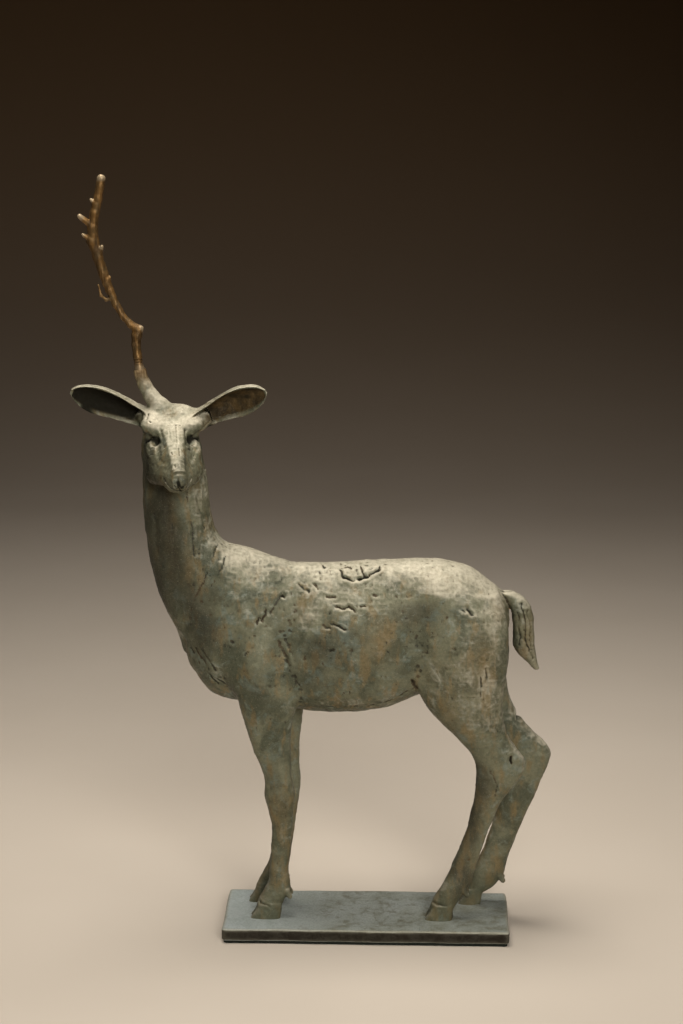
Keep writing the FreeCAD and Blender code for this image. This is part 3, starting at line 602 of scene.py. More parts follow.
# Tool marks on the flank, seen from the side: points (x, z), width, depth. A negative depth is a ridge.
MARKS = [
    ([(-27, 324), (-22, 322), (-23, 317), (-20, 313), (-12, 310), (-5, 311), (3, 314), (10, 318)], 1.3, 1.8),
    ([(-20, 312), (-12, 309.5), (-5, 310.5)], 1.8, 1.4),
    ([(-5, 319), (-2, 313)], 1.1, 1.3),
    ([(-21, 318), (-16, 319), (-12, 317)], 1.1, 0.8),
    ([(-12, 323), (-5, 322)], 1.1, 0.9),
    ([(4, 323), (13, 323)], 1.1, 0.9),
    ([(-37, 318), (-36.5, 318)], 1.4, 1.2),
    ([(-56, 305), (-53, 302), (-48, 300)], 1.3, 1.3),
    ([(-43, 306), (-40, 303)], 1.4, 1.5),
    ([(-32, 297), (-26, 297)], 1.1, 0.9),
    ([(-24, 289), (-20, 288), (-15, 290), (-9, 286)], 1.3, 1.3),
    ([(-30, 277), (-23, 274), (-18, 271)], 1.3, 1.2),
    ([(-36, 274), (-30, 273)], 1.1, 0.8),
    ([(6, 300), (10, 299)], 1.1, 1.0),
    ([(3, 306), (6, 306)], 1.0, 0.8),
    ([(-4, 290), (-1, 290)], 1.0, 0.9),
    ([(-70, 297), (-69.5, 296.5)], 2.0, 1.8),
    ([(-72, 296), (-76, 290), (-80, 283)], 1.5, 1.2),
    ([(-83, 285), (-86, 277)], 1.6, 1.4),
    ([(-88, 280), (-90, 276)], 1.6, 1.5),
    ([(-72, 308), (-70, 310)], 1.2, 0.8),
    ([(-111, 260), (-110.5, 260)], 1.8, 1.3),
    ([(-100, 250), (-99, 250.5)], 1.4, 1.1),
    ([(-30, 254), (-28, 254.5)], 2.0, 1.2),
    ([(-52, 247), (-49, 248)], 2.0, 1.2),
    ([(-19, 215), (-15, 219), (-13, 216)], 1.0, 0.8),
    ([(76, 288), (81, 286)], 1.2, 1.0),
    ([(82, 289), (87, 284)], 1.4, 1.4),
    ([(72, 256), (72.5, 256)], 1.3, 1.6),
    ([(89, 215), (89.5, 215)], 1.1, 1.3),
    ([(38, 225), (41, 218)], 2.2, 1.6),
    ([(-77, 265), (-69, 249), (-61, 232), (-53, 217)], 2.6, 0.42),
    ([(-72, 264), (-63, 245), (-56, 227)], 1.8, -0.7),
    ([(-167, 398), (-164, 370), (-161, 345), (-158, 322)], 4.5, 0.6),
    ([(-151, 402), (-148, 376), (-144, 350), (-143, 330)], 1.2, 0.7),
    ([(-176, 380), (-175, 350), (-172, 320)], 2.4, 0.7),
    ([(-143, 396), (-140, 372), (-135, 352)], 1.0, 0.5),
    ([(-147, 250), (-137, 235)], 1.3, 1.0),
    ([(-143, 251), (-132, 234)], 1.3, 0.9),
    ([(-137, 251), (-126, 233)], 1.2, 0.8),
    ([(-135, 233), (-125, 220)], 1.3, 1.0),
    ([(-125, 224), (-117, 219)], 1.2, 0.9),
    ([(-124, 343), (-128, 327), (-134, 312), (-142, 295), (-147, 284)], 1.3, 0.75),
    ([(-118, 328), (-122, 315), (-129, 305)], 1.2, 0.6),
    ([(-51, 202), (-31, 201), (1, 202), (20, 207), (34, 215)], 1.4, 0.8),
    ([(-40, 197), (-12, 197), (14, 200)], 1.2, 0.6),
    ([(98, 240), (100, 227)], 1.2, 0.7),
    ([(94, 238), (95, 216)], 1.2, 0.6),
    ([(-68, 189), (-67, 145), (-69, 92), (-70, 62)], 1.8, 0.4),
    ([(-81, 133), (-76, 118)], 2.2, 0.8),
    ([(-76, 108), (-75, 60)], 2.4, 0.5),
    ([(-91, 27), (-85, 26), (-79, 22), (-73, 21)], 1.2, 1.3),
    ([(55, 28), (63, 27.5), (70, 26), (76, 31)], 1.2, 1.3),
    ([(122, 160), (121, 152)], 1.8, 1.6),
    ([(103, 148), (111, 134), (108, 120)], 2.0, 0.6),
    ([(102, 202), (110, 181), (118, 162)], 2.2, 0.5),
    ([(92, 151), (101, 144)], 1.6, 0.4),
    ([(96, 118), (88, 84), (80, 56)], 2.2, 0.5),
    ([(87, 68), (87.5, 68)], 1.1, 1.2),
    ([(129, 288), (132, 272), (133, 256), (139, 240)], 1.5, 1.0),
    ([(125, 284), (127, 266), (128, 252)], 1.3, 0.8),
    ([(134, 282), (136.5, 264), (138, 248)], 1.3, 0.7),
]
# The far legs stand elsewhere, so they have marks of their own.
FAR_MARKS = [
    ([(-60, 189), (-61, 145), (-66, 92), (-72, 62)], 1.8, 0.4),
    ([(-96, 27), (-90, 26), (-84, 22), (-78, 21)], 1.2, 1.3),
    ([(82, 28), (90, 27.5), (96, 26), (101, 31)], 1.2, 1.3),
    ([(146, 158), (145, 150)], 1.8, 1.5),
    ([(128, 146), (135, 132), (132, 118)], 1.8, 0.9),
    ([(112, 198), (126, 178), (138, 163)], 1.8, 0.9),
    ([(124, 116), (117, 84), (109, 56)], 2.2, 0.9),
]
SHIFT_FAR = (8.0, -5.0)     # the far flank's marks are the near ones moved a little


def random_marks(count, seed):
    """Short dents and cuts scattered over the flank, mostly along the body."""
    random = np.random.RandomState(seed)
    marks = []
    for _ in range(count):
        x, z = random.uniform(-145, 112), random.uniform(200, 318)
        turn = random.normal(-0.5, 0.7)
        reach = random.uniform(0.3, 4.0)
        step = np.array((math.cos(turn), math.sin(turn))) * reach
        bend = np.array((-step[1], step[0])) * random.normal(0, 0.35)
        depth = random.uniform(0.05, 0.30) * (1.0 if random.rand() > 0.35 else -0.9)
        centre = np.array((x, z))
        marks.append(([tuple(centre - step), tuple(centre + bend), tuple(centre + step)],
                      random.uniform(0.9, 1.9), depth))
    return marks


def mark_relief(u, v, marks):
    """Height and darkness at each (u, v) from marks drawn on that plane."""
    height = np.zeros(len(u))
    dark = np.zeros(len(u))
    for line, width, depth in marks:
        line = np.array(line, float)
        reach = width * 3.5
        near = ((u > line[:, 0].min() - reach) & (u < line[:, 0].max() + reach)
                & (v > line[:, 1].min() - reach) & (v < line[:, 1].max() + reach)).nonzero()[0]
        if not len(near):
            continue
        p = np.stack([u[near], v[near]], 1)
        away = np.full(len(near), 1e9)
        for a, b in zip(line, line[1:]):
            along = b - a
            t = np.clip(((p - a) @ along) / max(float(along @ along), 1e-6), 0, 1)
            away = np.minimum(away, np.linalg.norm(p - a - t[:, None] * along, axis=1))
        groove = np.exp(-(away / (0.8 * width)) ** 2)
        lip = np.exp(-((away - 1.9 * width) / width) ** 2)
        height[near] += depth * (0.22 * lip - 0.75 * groove)
        dark[near] += max(0.8 * depth - 0.12, 0.0) * np.exp(-(away / (0.55 * width)) ** 2)
    return height, dark


RANDOM_NEAR = random_marks(110, 11)
RANDOM_FAR = random_marks(110, 12)


def relief(points, normals):
    """Height of the clay-like surface over the smooth form, and how dark its recesses are."""
    height = 0.60 * noise(points, 17.0, 1) + 0.34 * noise(points, 7.5, 2)
    height += 0.17 * ridged(points, 4.2, 3) + 0.07 * noise(points, 2.1, 4)
    height += 0.05 * ridged(points, (11.0, 6.0, 3.0), 5)
    on_neck = np.clip((points[:, 2] - 300.0) / 40.0, 0, 1) * np.clip((412.0 - points[:, 2]) / 20.0, 0, 1)
    folds = 0.75 * noise(points, (9.0, 9.0, 42.0), 6) + 0.30 * ridged(points, (5.0, 5.0, 22.0), 7)
    height += on_neck * folds
    dark = np.zeros(len(points))
    x = points[:, 0] + 0.9 * noise(points, 6.0, 8) + 0.5 * noise(points, 2.4, 9)
    z = points[:, 2] + 0.9 * noise(points, 6.0, 10) + 0.5 * noise(points, 2.4, 11)
    broken = np.clip(0.75 + 1.3 * noise(points, 7.0, 12), 0.15, 1.15)
    for side, marks in ((-1, MARKS + RANDOM_NEAR), (1, MARKS + RANDOM_FAR)):
        facing = np.clip((normals[:, 1] * side - 0.05) / 0.35, 0, 1)
        facing *= (points[:, 1] - MIDPLANE_Y) * side > -3.0
        facing *= (points[:, 0] > -152) | ((points[:, 2] > 300) & (points[:, 2] < 402))
        on_body = points[:, 2] > 200
        if side == 1:
            u = x - np.where(on_body, SHIFT_FAR[0], 1e4)
            v = z - SHIFT_FAR[1]
            more, shade = mark_relief(u, v, marks)
            extra, extra_shade = mark_relief(x, z, FAR_MARKS)
            more, shade = more + extra, shade + extra_shade
        else:
            more, shade = mark_relief(x, z, marks)
        height += more * facing * broken
        dark += shade * facing * broken
    return height, dark


# Broad patches, part patina and part painted shade in hollows and painted light on lit tops: x, z, reach
# along x, reach along z, how dark (negative is pale), how ochre.
PATCHES = [
    (-51, 278, 14, 10, -0.5, 0.0),
    (-34, 245, 20, 13, 0.5, 0.0),
    (12, 262, 11, 17, 0.0, 0.9),
    (32, 285, 15, 10, 0.5, 0.2),
    (97, 249, 8, 22, 0.1, 0.8),
    (-138, 255, 12, 28, 0.7, 0.1),
    (-112, 254, 14, 14, 0.3, 0.0),
    (-42, 224, 18, 8, 0.5, 0.0),
    (57, 236, 15, 20, -0.4, 0.3),
    (-108, 324, 20, 10, -0.5, 0.0),
    (58, 307, 34, 13, -0.8, 0.1),
    (112, 286, 6, 10, 0.0, 0.7),
    (-181, 408, 7, 18, 0.9, 0.2),
    (-147, 406, 6, 18, 0.8, 0.2),
    (-178, 345, 11, 60, 1.1, 0.1),
    (-172, 290, 12, 25, 0.8, 0.0),
    (-161, 350, 5, 40, 0.4, 0.8),
    (-136, 378, 8, 30, -0.6, 0.2),
    (-168, 372, 7, 44, 0.9, 0.2),
    (-157, 326, 8, 32, 0.9, 0.1),
    (-146, 292, 9, 24, 0.8, 0.0),
    (-131, 276, 13, 20, 0.6, 0.0),
    (-159, 264, 9, 14, -0.7, 0.1),
    (-120, 230, 11, 12, -0.5, 0.1),
    (-70, 295, 6, 9, 0.5, 0.0),
    (-90, 228, 12, 22, 0.4, 0.0),
    (-44, 262, 22, 16, 0.6, 0.0),
    (-8, 266, 16, 13, 0.4, 0.0),
    (49, 285, 17, 13, 0.6, 0.0),
    (34, 233, 17, 12, 0.4, 0.0),
    (105, 272, 11, 42, -0.7, 0.1),
    (84, 242, 13, 24, -0.5, 0.2),
    (100, 208, 18, 30, -0.6, 0.2),
    (95, 138, 9, 28, 0.8, 0.0),
    (88, 98, 9, 20, 1.0, 0.0),
    (82, 52, 12, 24, 0.9, 0.0),
    (-77, 140, 8, 34, 0.5, 0.0),
    (-76, 60, 8, 14, 0.5, 0.0),
    (-177, 438, 8, 6, -1.5, 0.0),
    (-145, 438, 8, 6, -1.3, 0.0),
    (-208, 450, 22, 15, 0.5, 0.4),
    (-120, 450, 22, 15, 0.5, 0.5),
    (88, 90, 8, 18, 0.5, 0.0),
    (84, 46, 12, 22, 0.5, 0.0),
    (70, 188, 10, 14, 0.5, 0.0),
    (-50, 284, 14, 10, -0.5, 0.0),
    (-22, 286, 16, 10, -0.4, 0.0),
    (-128, 305, 12, 16, 0.4, 0.0),
    (-177, 460, 12, 12, -1.3, 0.0),
    (137, 250, 10, 26, -0.6, 0.3),
    (-147, 318, 5, 20, 0.1, 0.9),
    (-8, 205, 46, 6, -0.5, 0.2),
    (70, 200, 12, 16, 0.0, 0.6),
    (-84, 200, 12, 18, 0.3, 0.0),
    (-72, 110, 8, 16, 0.2, 0.5),
    (98, 120, 10, 20, 0.3, 0.4),
    (135, 266, 8, 16, 0.0, 0.5),
]


def patches(points, normals):
    """How dark (patina with painted shade and light), ochre, golden and ear-brown the patina is at each
    point.
    """
    tone_and_painted_light = np.zeros(len(points))
    ochre = np.zeros(len(points))
    x = points[:, 0] + 4.0 * noise(points, 14.0, 51)
    z = points[:, 2] + 4.0 * noise(points, 14.0, 52)
    for at_x, at_z, reach_x, reach_z, dark, warm in PATCHES:
        share = np.exp(-((x - at_x) / reach_x) ** 2 - ((z - at_z) / reach_z) ** 2)
        tone_and_painted_light += dark * share
        ochre += warm * share
    gold = np.clip((points[:, 2] - 462.0) / 22.0, 0, 1) * (np.abs(points[:, 0] + 184.0) < 13.0)
    lining = sum(ear_linings(points, normals).values())
    return {"tone_and_painted_light": tone_and_painted_light, "ochre": np.clip(ochre, 0, 1), "gold": gold, "lining": lining}


# Grooves of the face, seen from in front of it: points (down the face, aside), width, depth.
FACE_MARKS = [
    ([(31, 9.8), (38, 9.6), (45, 9.0)], 1.4, 0.9),
    ([(31, -9.8), (38, -9.6), (47, -8.8)], 1.4, 0.9),
    ([(27, 2.5), (46, 1.5), (52, 0.5)], 0.9, 0.38),
    ([(30, -3.5), (44, -3.2)], 0.8, 0.28),
    ([(54, 2.2), (62, 1.8)], 0.7, 0.4),
    ([(58, -4.4), (60, -4.0)], 0.8, 0.6),
    ([(73, -3.4), (75, -3.2)], 0.9, 0.6),
    ([(27, -4.0), (27.5, 6.0)], 0.6, 0.4),
    ([(14, -19), (19, -20.5)], 1.2, 0.9),
    ([(23, -18.5), (23.5, -18)], 0.9, 0.9),
    ([(40, -15), (50, -14), (60, -11)], 1.8, 0.6),
    ([(40, 15), (50, 14), (60, 11)], 1.8, 0.6),
    ([(46, -18.5), (60, -15.5)], 1.4, 0.4),
    ([(52, -11), (54, -16)], 1.5, -0.5),
    ([(62, -12), (66, -9)], 1.2, -0.4),
    ([(44, 17.5), (56, 14)], 1.3, 0.4),
]


def head_relief(points, normals):
    a, s, d = head_coordinates(points[:, 0], points[:, 1], points[:, 2])
    facing = np.clip((normals @ OUT_OF_FACE - 0.0) / 0.3, 0, 1)
    height, dark = mark_relief(a, s, FACE_MARKS)
    side = np.abs(s)
    # socket: painted shadow in each eye socket under the brow.
    socket = np.exp(-((a - 36.0 + 0.7 * (side - 10.0)) / 3.4) ** 2) * np.clip((side - 8.5) / 3.0, 0, 1)
    socket *= np.clip((d - 6.0) / 3.0, 0, 1) * np.clip((20.0 - d) / 4.0, 0, 1)
    tear = np.exp(-((a - 44.0) / 10.0) ** 2 - ((side - 11.6 + 0.06 * (a - 44.0)) / 1.9) ** 2)
    mottle = np.clip(1.6 * noise(points, 4.2, 61) + 1.0 * noise(points, 2.0, 62) - 0.25, 0, 1)
    mottle *= np.clip((side - 8.5) / 4.0, 0, 1) * np.clip((a - 26.0) / 10.0, 0, 1)
    nose = np.exp(-((a - 87.5) / 3.6) ** 2 - (s / 4.6) ** 4 - ((d - 9.5) / 4.2) ** 4)
    nose *= np.clip(0.9 + 1.2 * noise(points, 2.4, 65), 0.4, 1.1)
    mouth = np.exp(-((d - 15.6 - 0.06 * (88 - a)) / 1.0) ** 2) * np.clip((a - 71) / 4.0, 0, 1)
    # The socket term is painted shadow; tear, mottle, nose and mouth are stains.
    painted_shadow_and_stain = 1.25 * socket + 0.80 * tear + 0.60 * mottle + 1.05 * nose + mouth
    return height * facing - 0.35 * mottle, dark * facing + painted_shadow_and_stain


# ---------------------------------------------------------------- pieces

def mesh_object(name, points, faces, normals, marks, material):
    """A Blender mesh in metres, with smooth normals and one value per point for each entry in marks."""
    mesh = bpy.data.meshes.new(name)
    mesh.from_pydata((points * MM).tolist(), [], faces)
    mesh.materials.append(material)
    mesh.shade_smooth()
    for key, values in marks.items():
        attribute = mesh.attributes.new(key, "FLOAT", "POINT")
        attribute.data.foreach_set("value", np.ascontiguousarray(values, np.float32))
    if normals is not None:
        mesh.normals_split_custom_set_from_vertices(normals.tolist())
    thing = bpy.data.objects.new(name, mesh)
    bpy.context.scene.collection.objects.link(thing)
    return thing


def casting(name, field_of, low, high, voxel, material, planes=(), reliefs=(), node=None):
    """A sculpted piece: the field's surface with relief on it, cut along the seams and closed there."""
    points, quads = surface(field_of, low, high, voxel)
    normals = point_normals(points, quads)
    broad = smoothed(points, quads, 24)
    hollow = np.einsum("ij,ij->i", broad - points, normals)
    height = np.zeros(len(points))
    dark = np.zeros(len(points))
    for part in reliefs:
        more, shade = part(points, normals)
        height += more
        dark += shade
    points = points + normals * height[:, None]
    normals = point_normals(points, quads)
    near = smoothed(points, quads, 3)
    pocket = np.einsum("ij,ij->i", near - points, normals)
    kept_points, kept = cut(points.copy(), quads, planes)
    used = np.unique(kept)
    number = np.full(len(points), -1)
    number[used] = np.arange(len(used))
    kept = number[kept]
    final = kept_points[used]
    marks = {"dark": dark[used], "hollow": hollow[used], "pocket": pocket[used]}
    marks.update(patches(final, normals[used]))
    faces = kept.tolist()
    final_normals = normals[used]
    for ring in rims(kept):
        middle = len(final)
        final = np.vstack([final, final[ring].mean(axis=0)])
        final_normals = np.vstack([final_normals, final_normals[ring].mean(axis=0) + 1e-6])
        marks = {key: np.append(values, 0.0) for key, values in marks.items()}
        faces += [[at, before, middle] for at, before in zip(ring, ring[-1:] + ring[:-1])]
    thing = mesh_object(name, final, faces, final_normals, marks, material)
    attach(thing, "root")
    if node:
        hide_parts(*([node] if isinstance(node, str) else node))
    return thing


def ear_directions(root, tip, across):
    """An ear's own directions: along it, across it, out of its back, and its length."""
    root, tip, across = (np.array(v, float) for v in (root, tip, across))
    along = tip - root
    length = np.linalg.norm(along)
    along = along / length
    back = np.cross(along, across)
    back *= np.sign(back[1]) / np.linalg.norm(back)
    across = np.cross(back, along)
    across *= np.sign(across[2])
    return along, across, back, length


def ear_field(root, tip, across):
    """A cupped leaf: thick at the root, thin at the rim, hollow towards -Y."""
    along, across, back, length = ear_directions(root, tip, across)

    def field(x, y, z):
        p = (x - root[0], y - root[1], z - root[2])
        t, s, b = (sum(p[k] * float(axis[k]) for k in range(3)) for axis in (along, across, back))
        share = t / length
        half, depth, bow = stations_at(np.clip(share, EAR[0][0], EAR[-1][0]), EAR)
        s = s - bow
        q = s / half
        sheet = b - depth * (1 - np.clip(q * q, 0, 1.3))
        slope = np.sqrt(1 + (2 * depth * q / half) ** 2)
        thick = 1.1 + 1.5 * np.clip(0.25 - share, 0, 0.4)
        thick = thick + 0.9 * np.clip(q, 0, 1) ** 4 + 0.25 * np.abs(q) ** 3
        shell = np.abs(sheet) / slope - thick
        rim = (np.abs(q) - 1.0) * half
        solid = np.hypot(np.maximum(shell + 1.0, 0), np.maximum(rim + 1.0, 0)) - 1.0
        solid = np.where(np.maximum(shell, rim) < -1.0, np.maximum(shell, rim), solid)
        return past_ends(solid, t, EAR[0][0] * length, EAR[-1][0] * length)
    return field


# Ears, root to tip: share of the length, half width across, depth of the hollow, how far the middle bows up.
EAR = [
    (-0.10, 7.5, 5.5, 0),
    (0.02, 8.2, 7, 0.2),
    (0.18, 9.3, 8.6, 0.6),
    (0.38, 11.4, 9, 1),
    (0.56, 12.7, 8, 0.8),
    (0.72, 12.2, 6.2, 0.4),
    (0.85, 9.8, 4.2, 0.2),
    (0.94, 6.4, 2.2, 0.1),
    (1.00, 2, 0.6, 0),
]
EARS = {
    "right_ear": ((-184.5, 4.0, 441.0), (-244.5, -2.0, 464.5), (0.36, -0.35, 1.0)),
    "left_ear": ((-138.5, 4.0, 441.0), (-83.5, -2.0, 465.0), (-0.42, -0.35, 1.0)),
}
EAR_SEAM = 0.14         # where an ear's seam is, as a share of its length
EAR_ZONE = 40.0         # the seam's plane only counts this near to the ear's middle
EAR_ZONE_WIDTH = 16.5   # and this near to its long axis

# Antler: x, y, z, radius along the beam, and its side twigs (start, end, radius at each end).
BEAM = [
    (-187.2, 4.75, 477, 4.1),
    (-188, 5, 482, 3.8),
    (-189.6, 5.5, 492, 3.4),
    (-190.8, 6, 502, 3.5),
    (-190.2, 6.6, 510, 4),
    (-189.4, 7, 514.5, 3.9),
    (-195.5, 7.5, 519, 2.9),
    (-201.5, 8, 525.5, 2.6),
    (-207, 8.2, 535, 2.9),
    (-212, 8, 547, 3.3),
    (-216.6, 7.2, 560, 3.8),
    (-220.8, 6.2, 574, 4),
    (-224.2, 5.2, 587, 4.4),
    (-224.4, 4.6, 598, 4),
    (-222.2, 4.4, 610, 3.6),
    (-219.2, 4.4, 622, 3.5),
    (-217.2, 4.2, 632, 3.3),
    (-216.4, 4, 637.6, 3.4),
]
TWIGS = [
    ((-224, 4, 599), (-234, 1, 607.2), 2.8, 2),
    ((-225, 4, 588), (-232, 2, 592.5), 2.8, 1.3),
    ((-224, 5, 581), (-229.3, 5, 586.6), 2.4, 0.9),
    ((-220.5, 4, 616), (-224.6, 2, 620.5), 2.6, 1.2),
    ((-220, 5.5, 576), (-217, 3.5, 582.5), 3, 1.5),
    ((-215, 7, 552), (-211.6, 6, 557.5), 2.6, 1.3),
    ((-190, 6.8, 512), (-186.2, 6.4, 515.8), 3.2, 1.7),
    ((-209, 7.5, 540.5), (-214.5, 6, 539.2), 1.5, 1.1),
    ((-214.5, 6, 539.2), (-218.8, 4.6, 543), 1.1, 0.9),
    ((-218.8, 4.6, 543), (-220.6, 4, 551.5), 0.9, 0.8),
]
ANTLER_SEAM = 482.0
ANTLER_WAY = (-0.16, 0.05, 0.985)       # the way the antler grows at its seam


def antler_field(x, y, z):
    field = None
    for (ax, ay, az, ar), (bx, by, bz, br) in zip(BEAM, BEAM[1:]):
        piece = limb(x, y, z, (ax, ay, az), (bx, by, bz), ar, br)
        field = piece if field is None else soft_union(field, piece, 1.6)
    for start, end, radius_start, radius_end in TWIGS:
        field = soft_union(field, limb(x, y, z, start, end, radius_start, radius_end), 1.4)
    return field


def bark(points, normals):
    """Long ridges and knots along the beam."""
    long = points * np.array((1.0, 1.0, 0.18))
    height = 0.20 * ridged(long, 3.0, 21) + 0.22 * noise(points, 5.0, 22) + 0.06 * noise(points, 1.6, 23)
    rings = np.exp(-((points[:, 2] - 490.5) / 0.6) ** 2) + np.exp(-((points[:, 2] - 488.0) / 0.5) ** 2)
    return height - 0.3 * rings, np.maximum(-height, 0) * 1.2 + 0.35 * rings


def ear_linings(points, normals):
    """How far each point is inside the left ear and inside the right ear."""
    shares = []
    for root, tip, across in EARS.values():
        along, across, back, length = ear_directions(root, tip, across)
        share = (points - np.array(root)) @ along / length
        half, depth, bow = stations_at(np.clip(share, EAR[0][0], EAR[-1][0]), EAR)
        q = ((points - np.array(root)) @ across - bow) / half
        inside = np.clip((-(normals @ back) - 0.1) / 0.5, 0, 1) * np.clip((0.92 - np.abs(q)) / 0.22, 0, 1)
        inside *= np.clip((share - 0.04) / 0.12, 0, 1) * (share < 0.97) * (1.0 - 0.35 * np.clip(-q, 0, 1))
        shares.append(inside)
    return dict(zip(EARS, shares))


def ear_relief(points, normals):
    """Both ears are dark inside, the right one nearly black."""
    lining = ear_linings(points, normals)
    cloud = np.clip(0.5 + 1.3 * noise(points, 7.0, 63), 0, 1)
    veins = 0.25 * ridged(points, 4.0, 64)
    dark = lining["right_ear"] * 1.4 + lining["left_ear"] * (0.25 + 0.55 * cloud)
    return -veins * lining["left_ear"], dark


def plate_field(x, y, z):
    """The slab: straight sides that wander a little, worn edges, and a slightly uneven top."""
    middle = (PLATE_LOW + PLATE_HIGH) / 2
    half = (PLATE_HIGH - PLATE_LOW) / 2
    wander = 0.55 * np.sin(x * 0.041 + 1.0) + 0.35 * np.sin(x * 0.103) + 0.25 * np.sin(y * 0.12 + 2.0)
    top_wander = 0.18 * np.sin(x * 0.035 + 0.7) + 0.14 * np.sin(y * 0.09 + x * 0.02)
    worn = 1.3
    px = np.abs(x - middle[0]) - (half[0] - 0.8 + 0.5 * np.sin(y * 0.07)) + worn
    py = np.abs(y - middle[1]) - (half[1] - 0.9 + wander * 0.8) + worn
    pz = np.abs(z - middle[2] - top_wander * 0.5) - (half[2] - 0.1) + worn
    corner = 1.8
    flat = np.hypot(np.maximum(px + corner, 0), np.maximum(py + corner, 0)) - corner
    flat = np.where(np.maximum(px, py) < -corner, np.maximum(px, py), flat)
    outside = np.hypot(np.maximum(flat, 0), np.maximum(pz, 0))
    return outside + np.minimum(np.maximum(flat, pz), 0) - worn


PLATE_MARKS = [
    ([(46, -46), (45, -28)], 0.8, 0.5),
    ([(-8, 22), (14, 25)], 1.6, 0.25),
    ([(-30, -30), (-8, -34)], 1.2, 0.2),
    ([(-70, 8), (-52, 12)], 1.4, 0.2),
    ([(12, -12), (34, -10), (40, -16)], 1.3, 0.22),
]


def plate_relief(points, normals):
    height = 0.10 * noise(points, 14.0, 41) + 0.08 * noise(points, 4.5, 42) + 0.05 * ridged(points, 2.6, 43)
    facing = np.clip(normals[:, 2], 0, 1)
    more, dark = mark_relief(points[:, 0], points[:, 1], PLATE_MARKS)
    front = np.clip(-normals[:, 1], 0, 1)
    long = points * np.array((0.25, 1.0, 1.0))
    height = height + 0.14 * ridged(long, 3.0, 44) * front
    return height + more * facing, dark * facing


# ---------------------------------------------------------------- materials

SHINE = 0.18     # specular level of every finish: old wax over patina is dull


class Shader:
    """A material's node tree, with short names for the nodes it uses."""

    def __init__(self, name):
        self.material = bpy.data.materials.new(name)
        self.material.use_nodes = True
        self.tree = self.material.node_tree
        self.bsdf = self.tree.nodes["Principled BSDF"]
        self.place = self.node("ShaderNodeTexCoord").outputs["Object"]

    def node(self, kind, **settings):
        made = self.tree.nodes.new(kind)
        for key, value in settings.items():
            setattr(made, key, value)
        return made

    def feed(self, socket, value):
        if isinstance(value, bpy.types.NodeSocket):
            self.tree.links.new(value, socket)
        elif isinstance(value, tuple) and len(value) == 3 and len(socket.default_value) == 4:
            socket.default_value = (*value, 1.0)
        else:
            socket.default_value = value

    def stretched(self, scale):
        made = self.node("ShaderNodeMapping")
        self.feed(made.inputs["Vector"], self.place)
        made.inputs["Scale"].default_value = scale
        return made.outputs["Vector"]

    def noise(self, size, detail=3.0, rough=0.55, stretch=None, twist=0.0):
        """Noise about 0.5 whose blotches are about this many mm across."""
        made = self.node("ShaderNodeTexNoise")
        self.feed(made.inputs["Vector"], self.stretched(stretch) if stretch else self.place)
        made.inputs["Scale"].default_value = 1.0 / (size * MM)
        made.inputs["Detail"].default_value = detail
        made.inputs["Roughness"].default_value = rough
        made.inputs["Distortion"].default_value = twist
        return made.outputs["Fac"]

    def mark(self, name):
        return self.node("ShaderNodeAttribute", attribute_name=name).outputs["Fac"]

    def math(self, operation, a, b=0.0):
        made = self.node("ShaderNodeMath", operation=operation)
        self.feed(made.inputs[0], a)
        self.feed(made.inputs[1], b)
        return made.outputs[0]

    def span(self, value, low, high, to_low=0.0, to_high=1.0):
        """Maps low..high to 0..1, clamped and eased."""
        made = self.node("ShaderNodeMapRange", interpolation_type="SMOOTHSTEP")
        self.feed(made.inputs["Value"], value)
        for key, number in zip(("From Min", "From Max", "To Min", "To Max"), (low, high, to_low, to_high)):
            made.inputs[key].default_value = number
        return made.outputs["Result"]

    def mix(self, share, a, b, blend="MIX"):
        made = self.node("ShaderNodeMix", data_type="RGBA", blend_type=blend)
        self.feed(made.inputs["Factor"], share)
        self.feed(made.inputs["A"], a)
        self.feed(made.inputs["B"], b)
        return made.outputs["Result"]

    def normal_z(self):
        parts = self.node("ShaderNodeSeparateXYZ")
        self.feed(parts.inputs[0], self.node("ShaderNodeNewGeometry").outputs["Normal"])
        return parts.outputs["Z"]

    def place_of(self, axis):
        parts = self.node("ShaderNodeSeparateXYZ")
        self.feed(parts.inputs[0], self.place)
        return parts.outputs[axis]

    def bump(self, height, depth_mm, under=None):
        made = self.node("ShaderNodeBump")
        made.inputs["Strength"].default_value = 1.0
        made.inputs["Distance"].default_value = depth_mm * MM
        self.feed(made.inputs["Height"], height)
        if under is not None:
            self.feed(made.inputs["Normal"], under)
        return made.outputs["Normal"]

    def finish(self, colour, roughness, metallic, normal):
        self.feed(self.bsdf.inputs["Base Color"], colour)
        self.feed(self.bsdf.inputs["Roughness"], roughness)
        self.feed(self.bsdf.inputs["Metallic"], metallic)
        self.feed(self.bsdf.inputs["Normal"], normal)
        self.bsdf.inputs["Specular IOR Level"].default_value = SHINE
        return self.material


PALE = (0.50, 0.455, 0.345)
GREEN = (0.168, 0.168, 0.108)
DEEP_GREEN = (0.082, 0.088, 0.056)
BLUE_GREEN = (0.150, 0.184, 0.150)
OCHRE = (0.200, 0.145, 0.066)
NIGHT = (0.038, 0.036, 0.023)
BROWN = (0.070, 0.050, 0.026)
DARK = (0.010, 0.009, 0.005)
GOLD = (0.20, 0.105, 0.032)


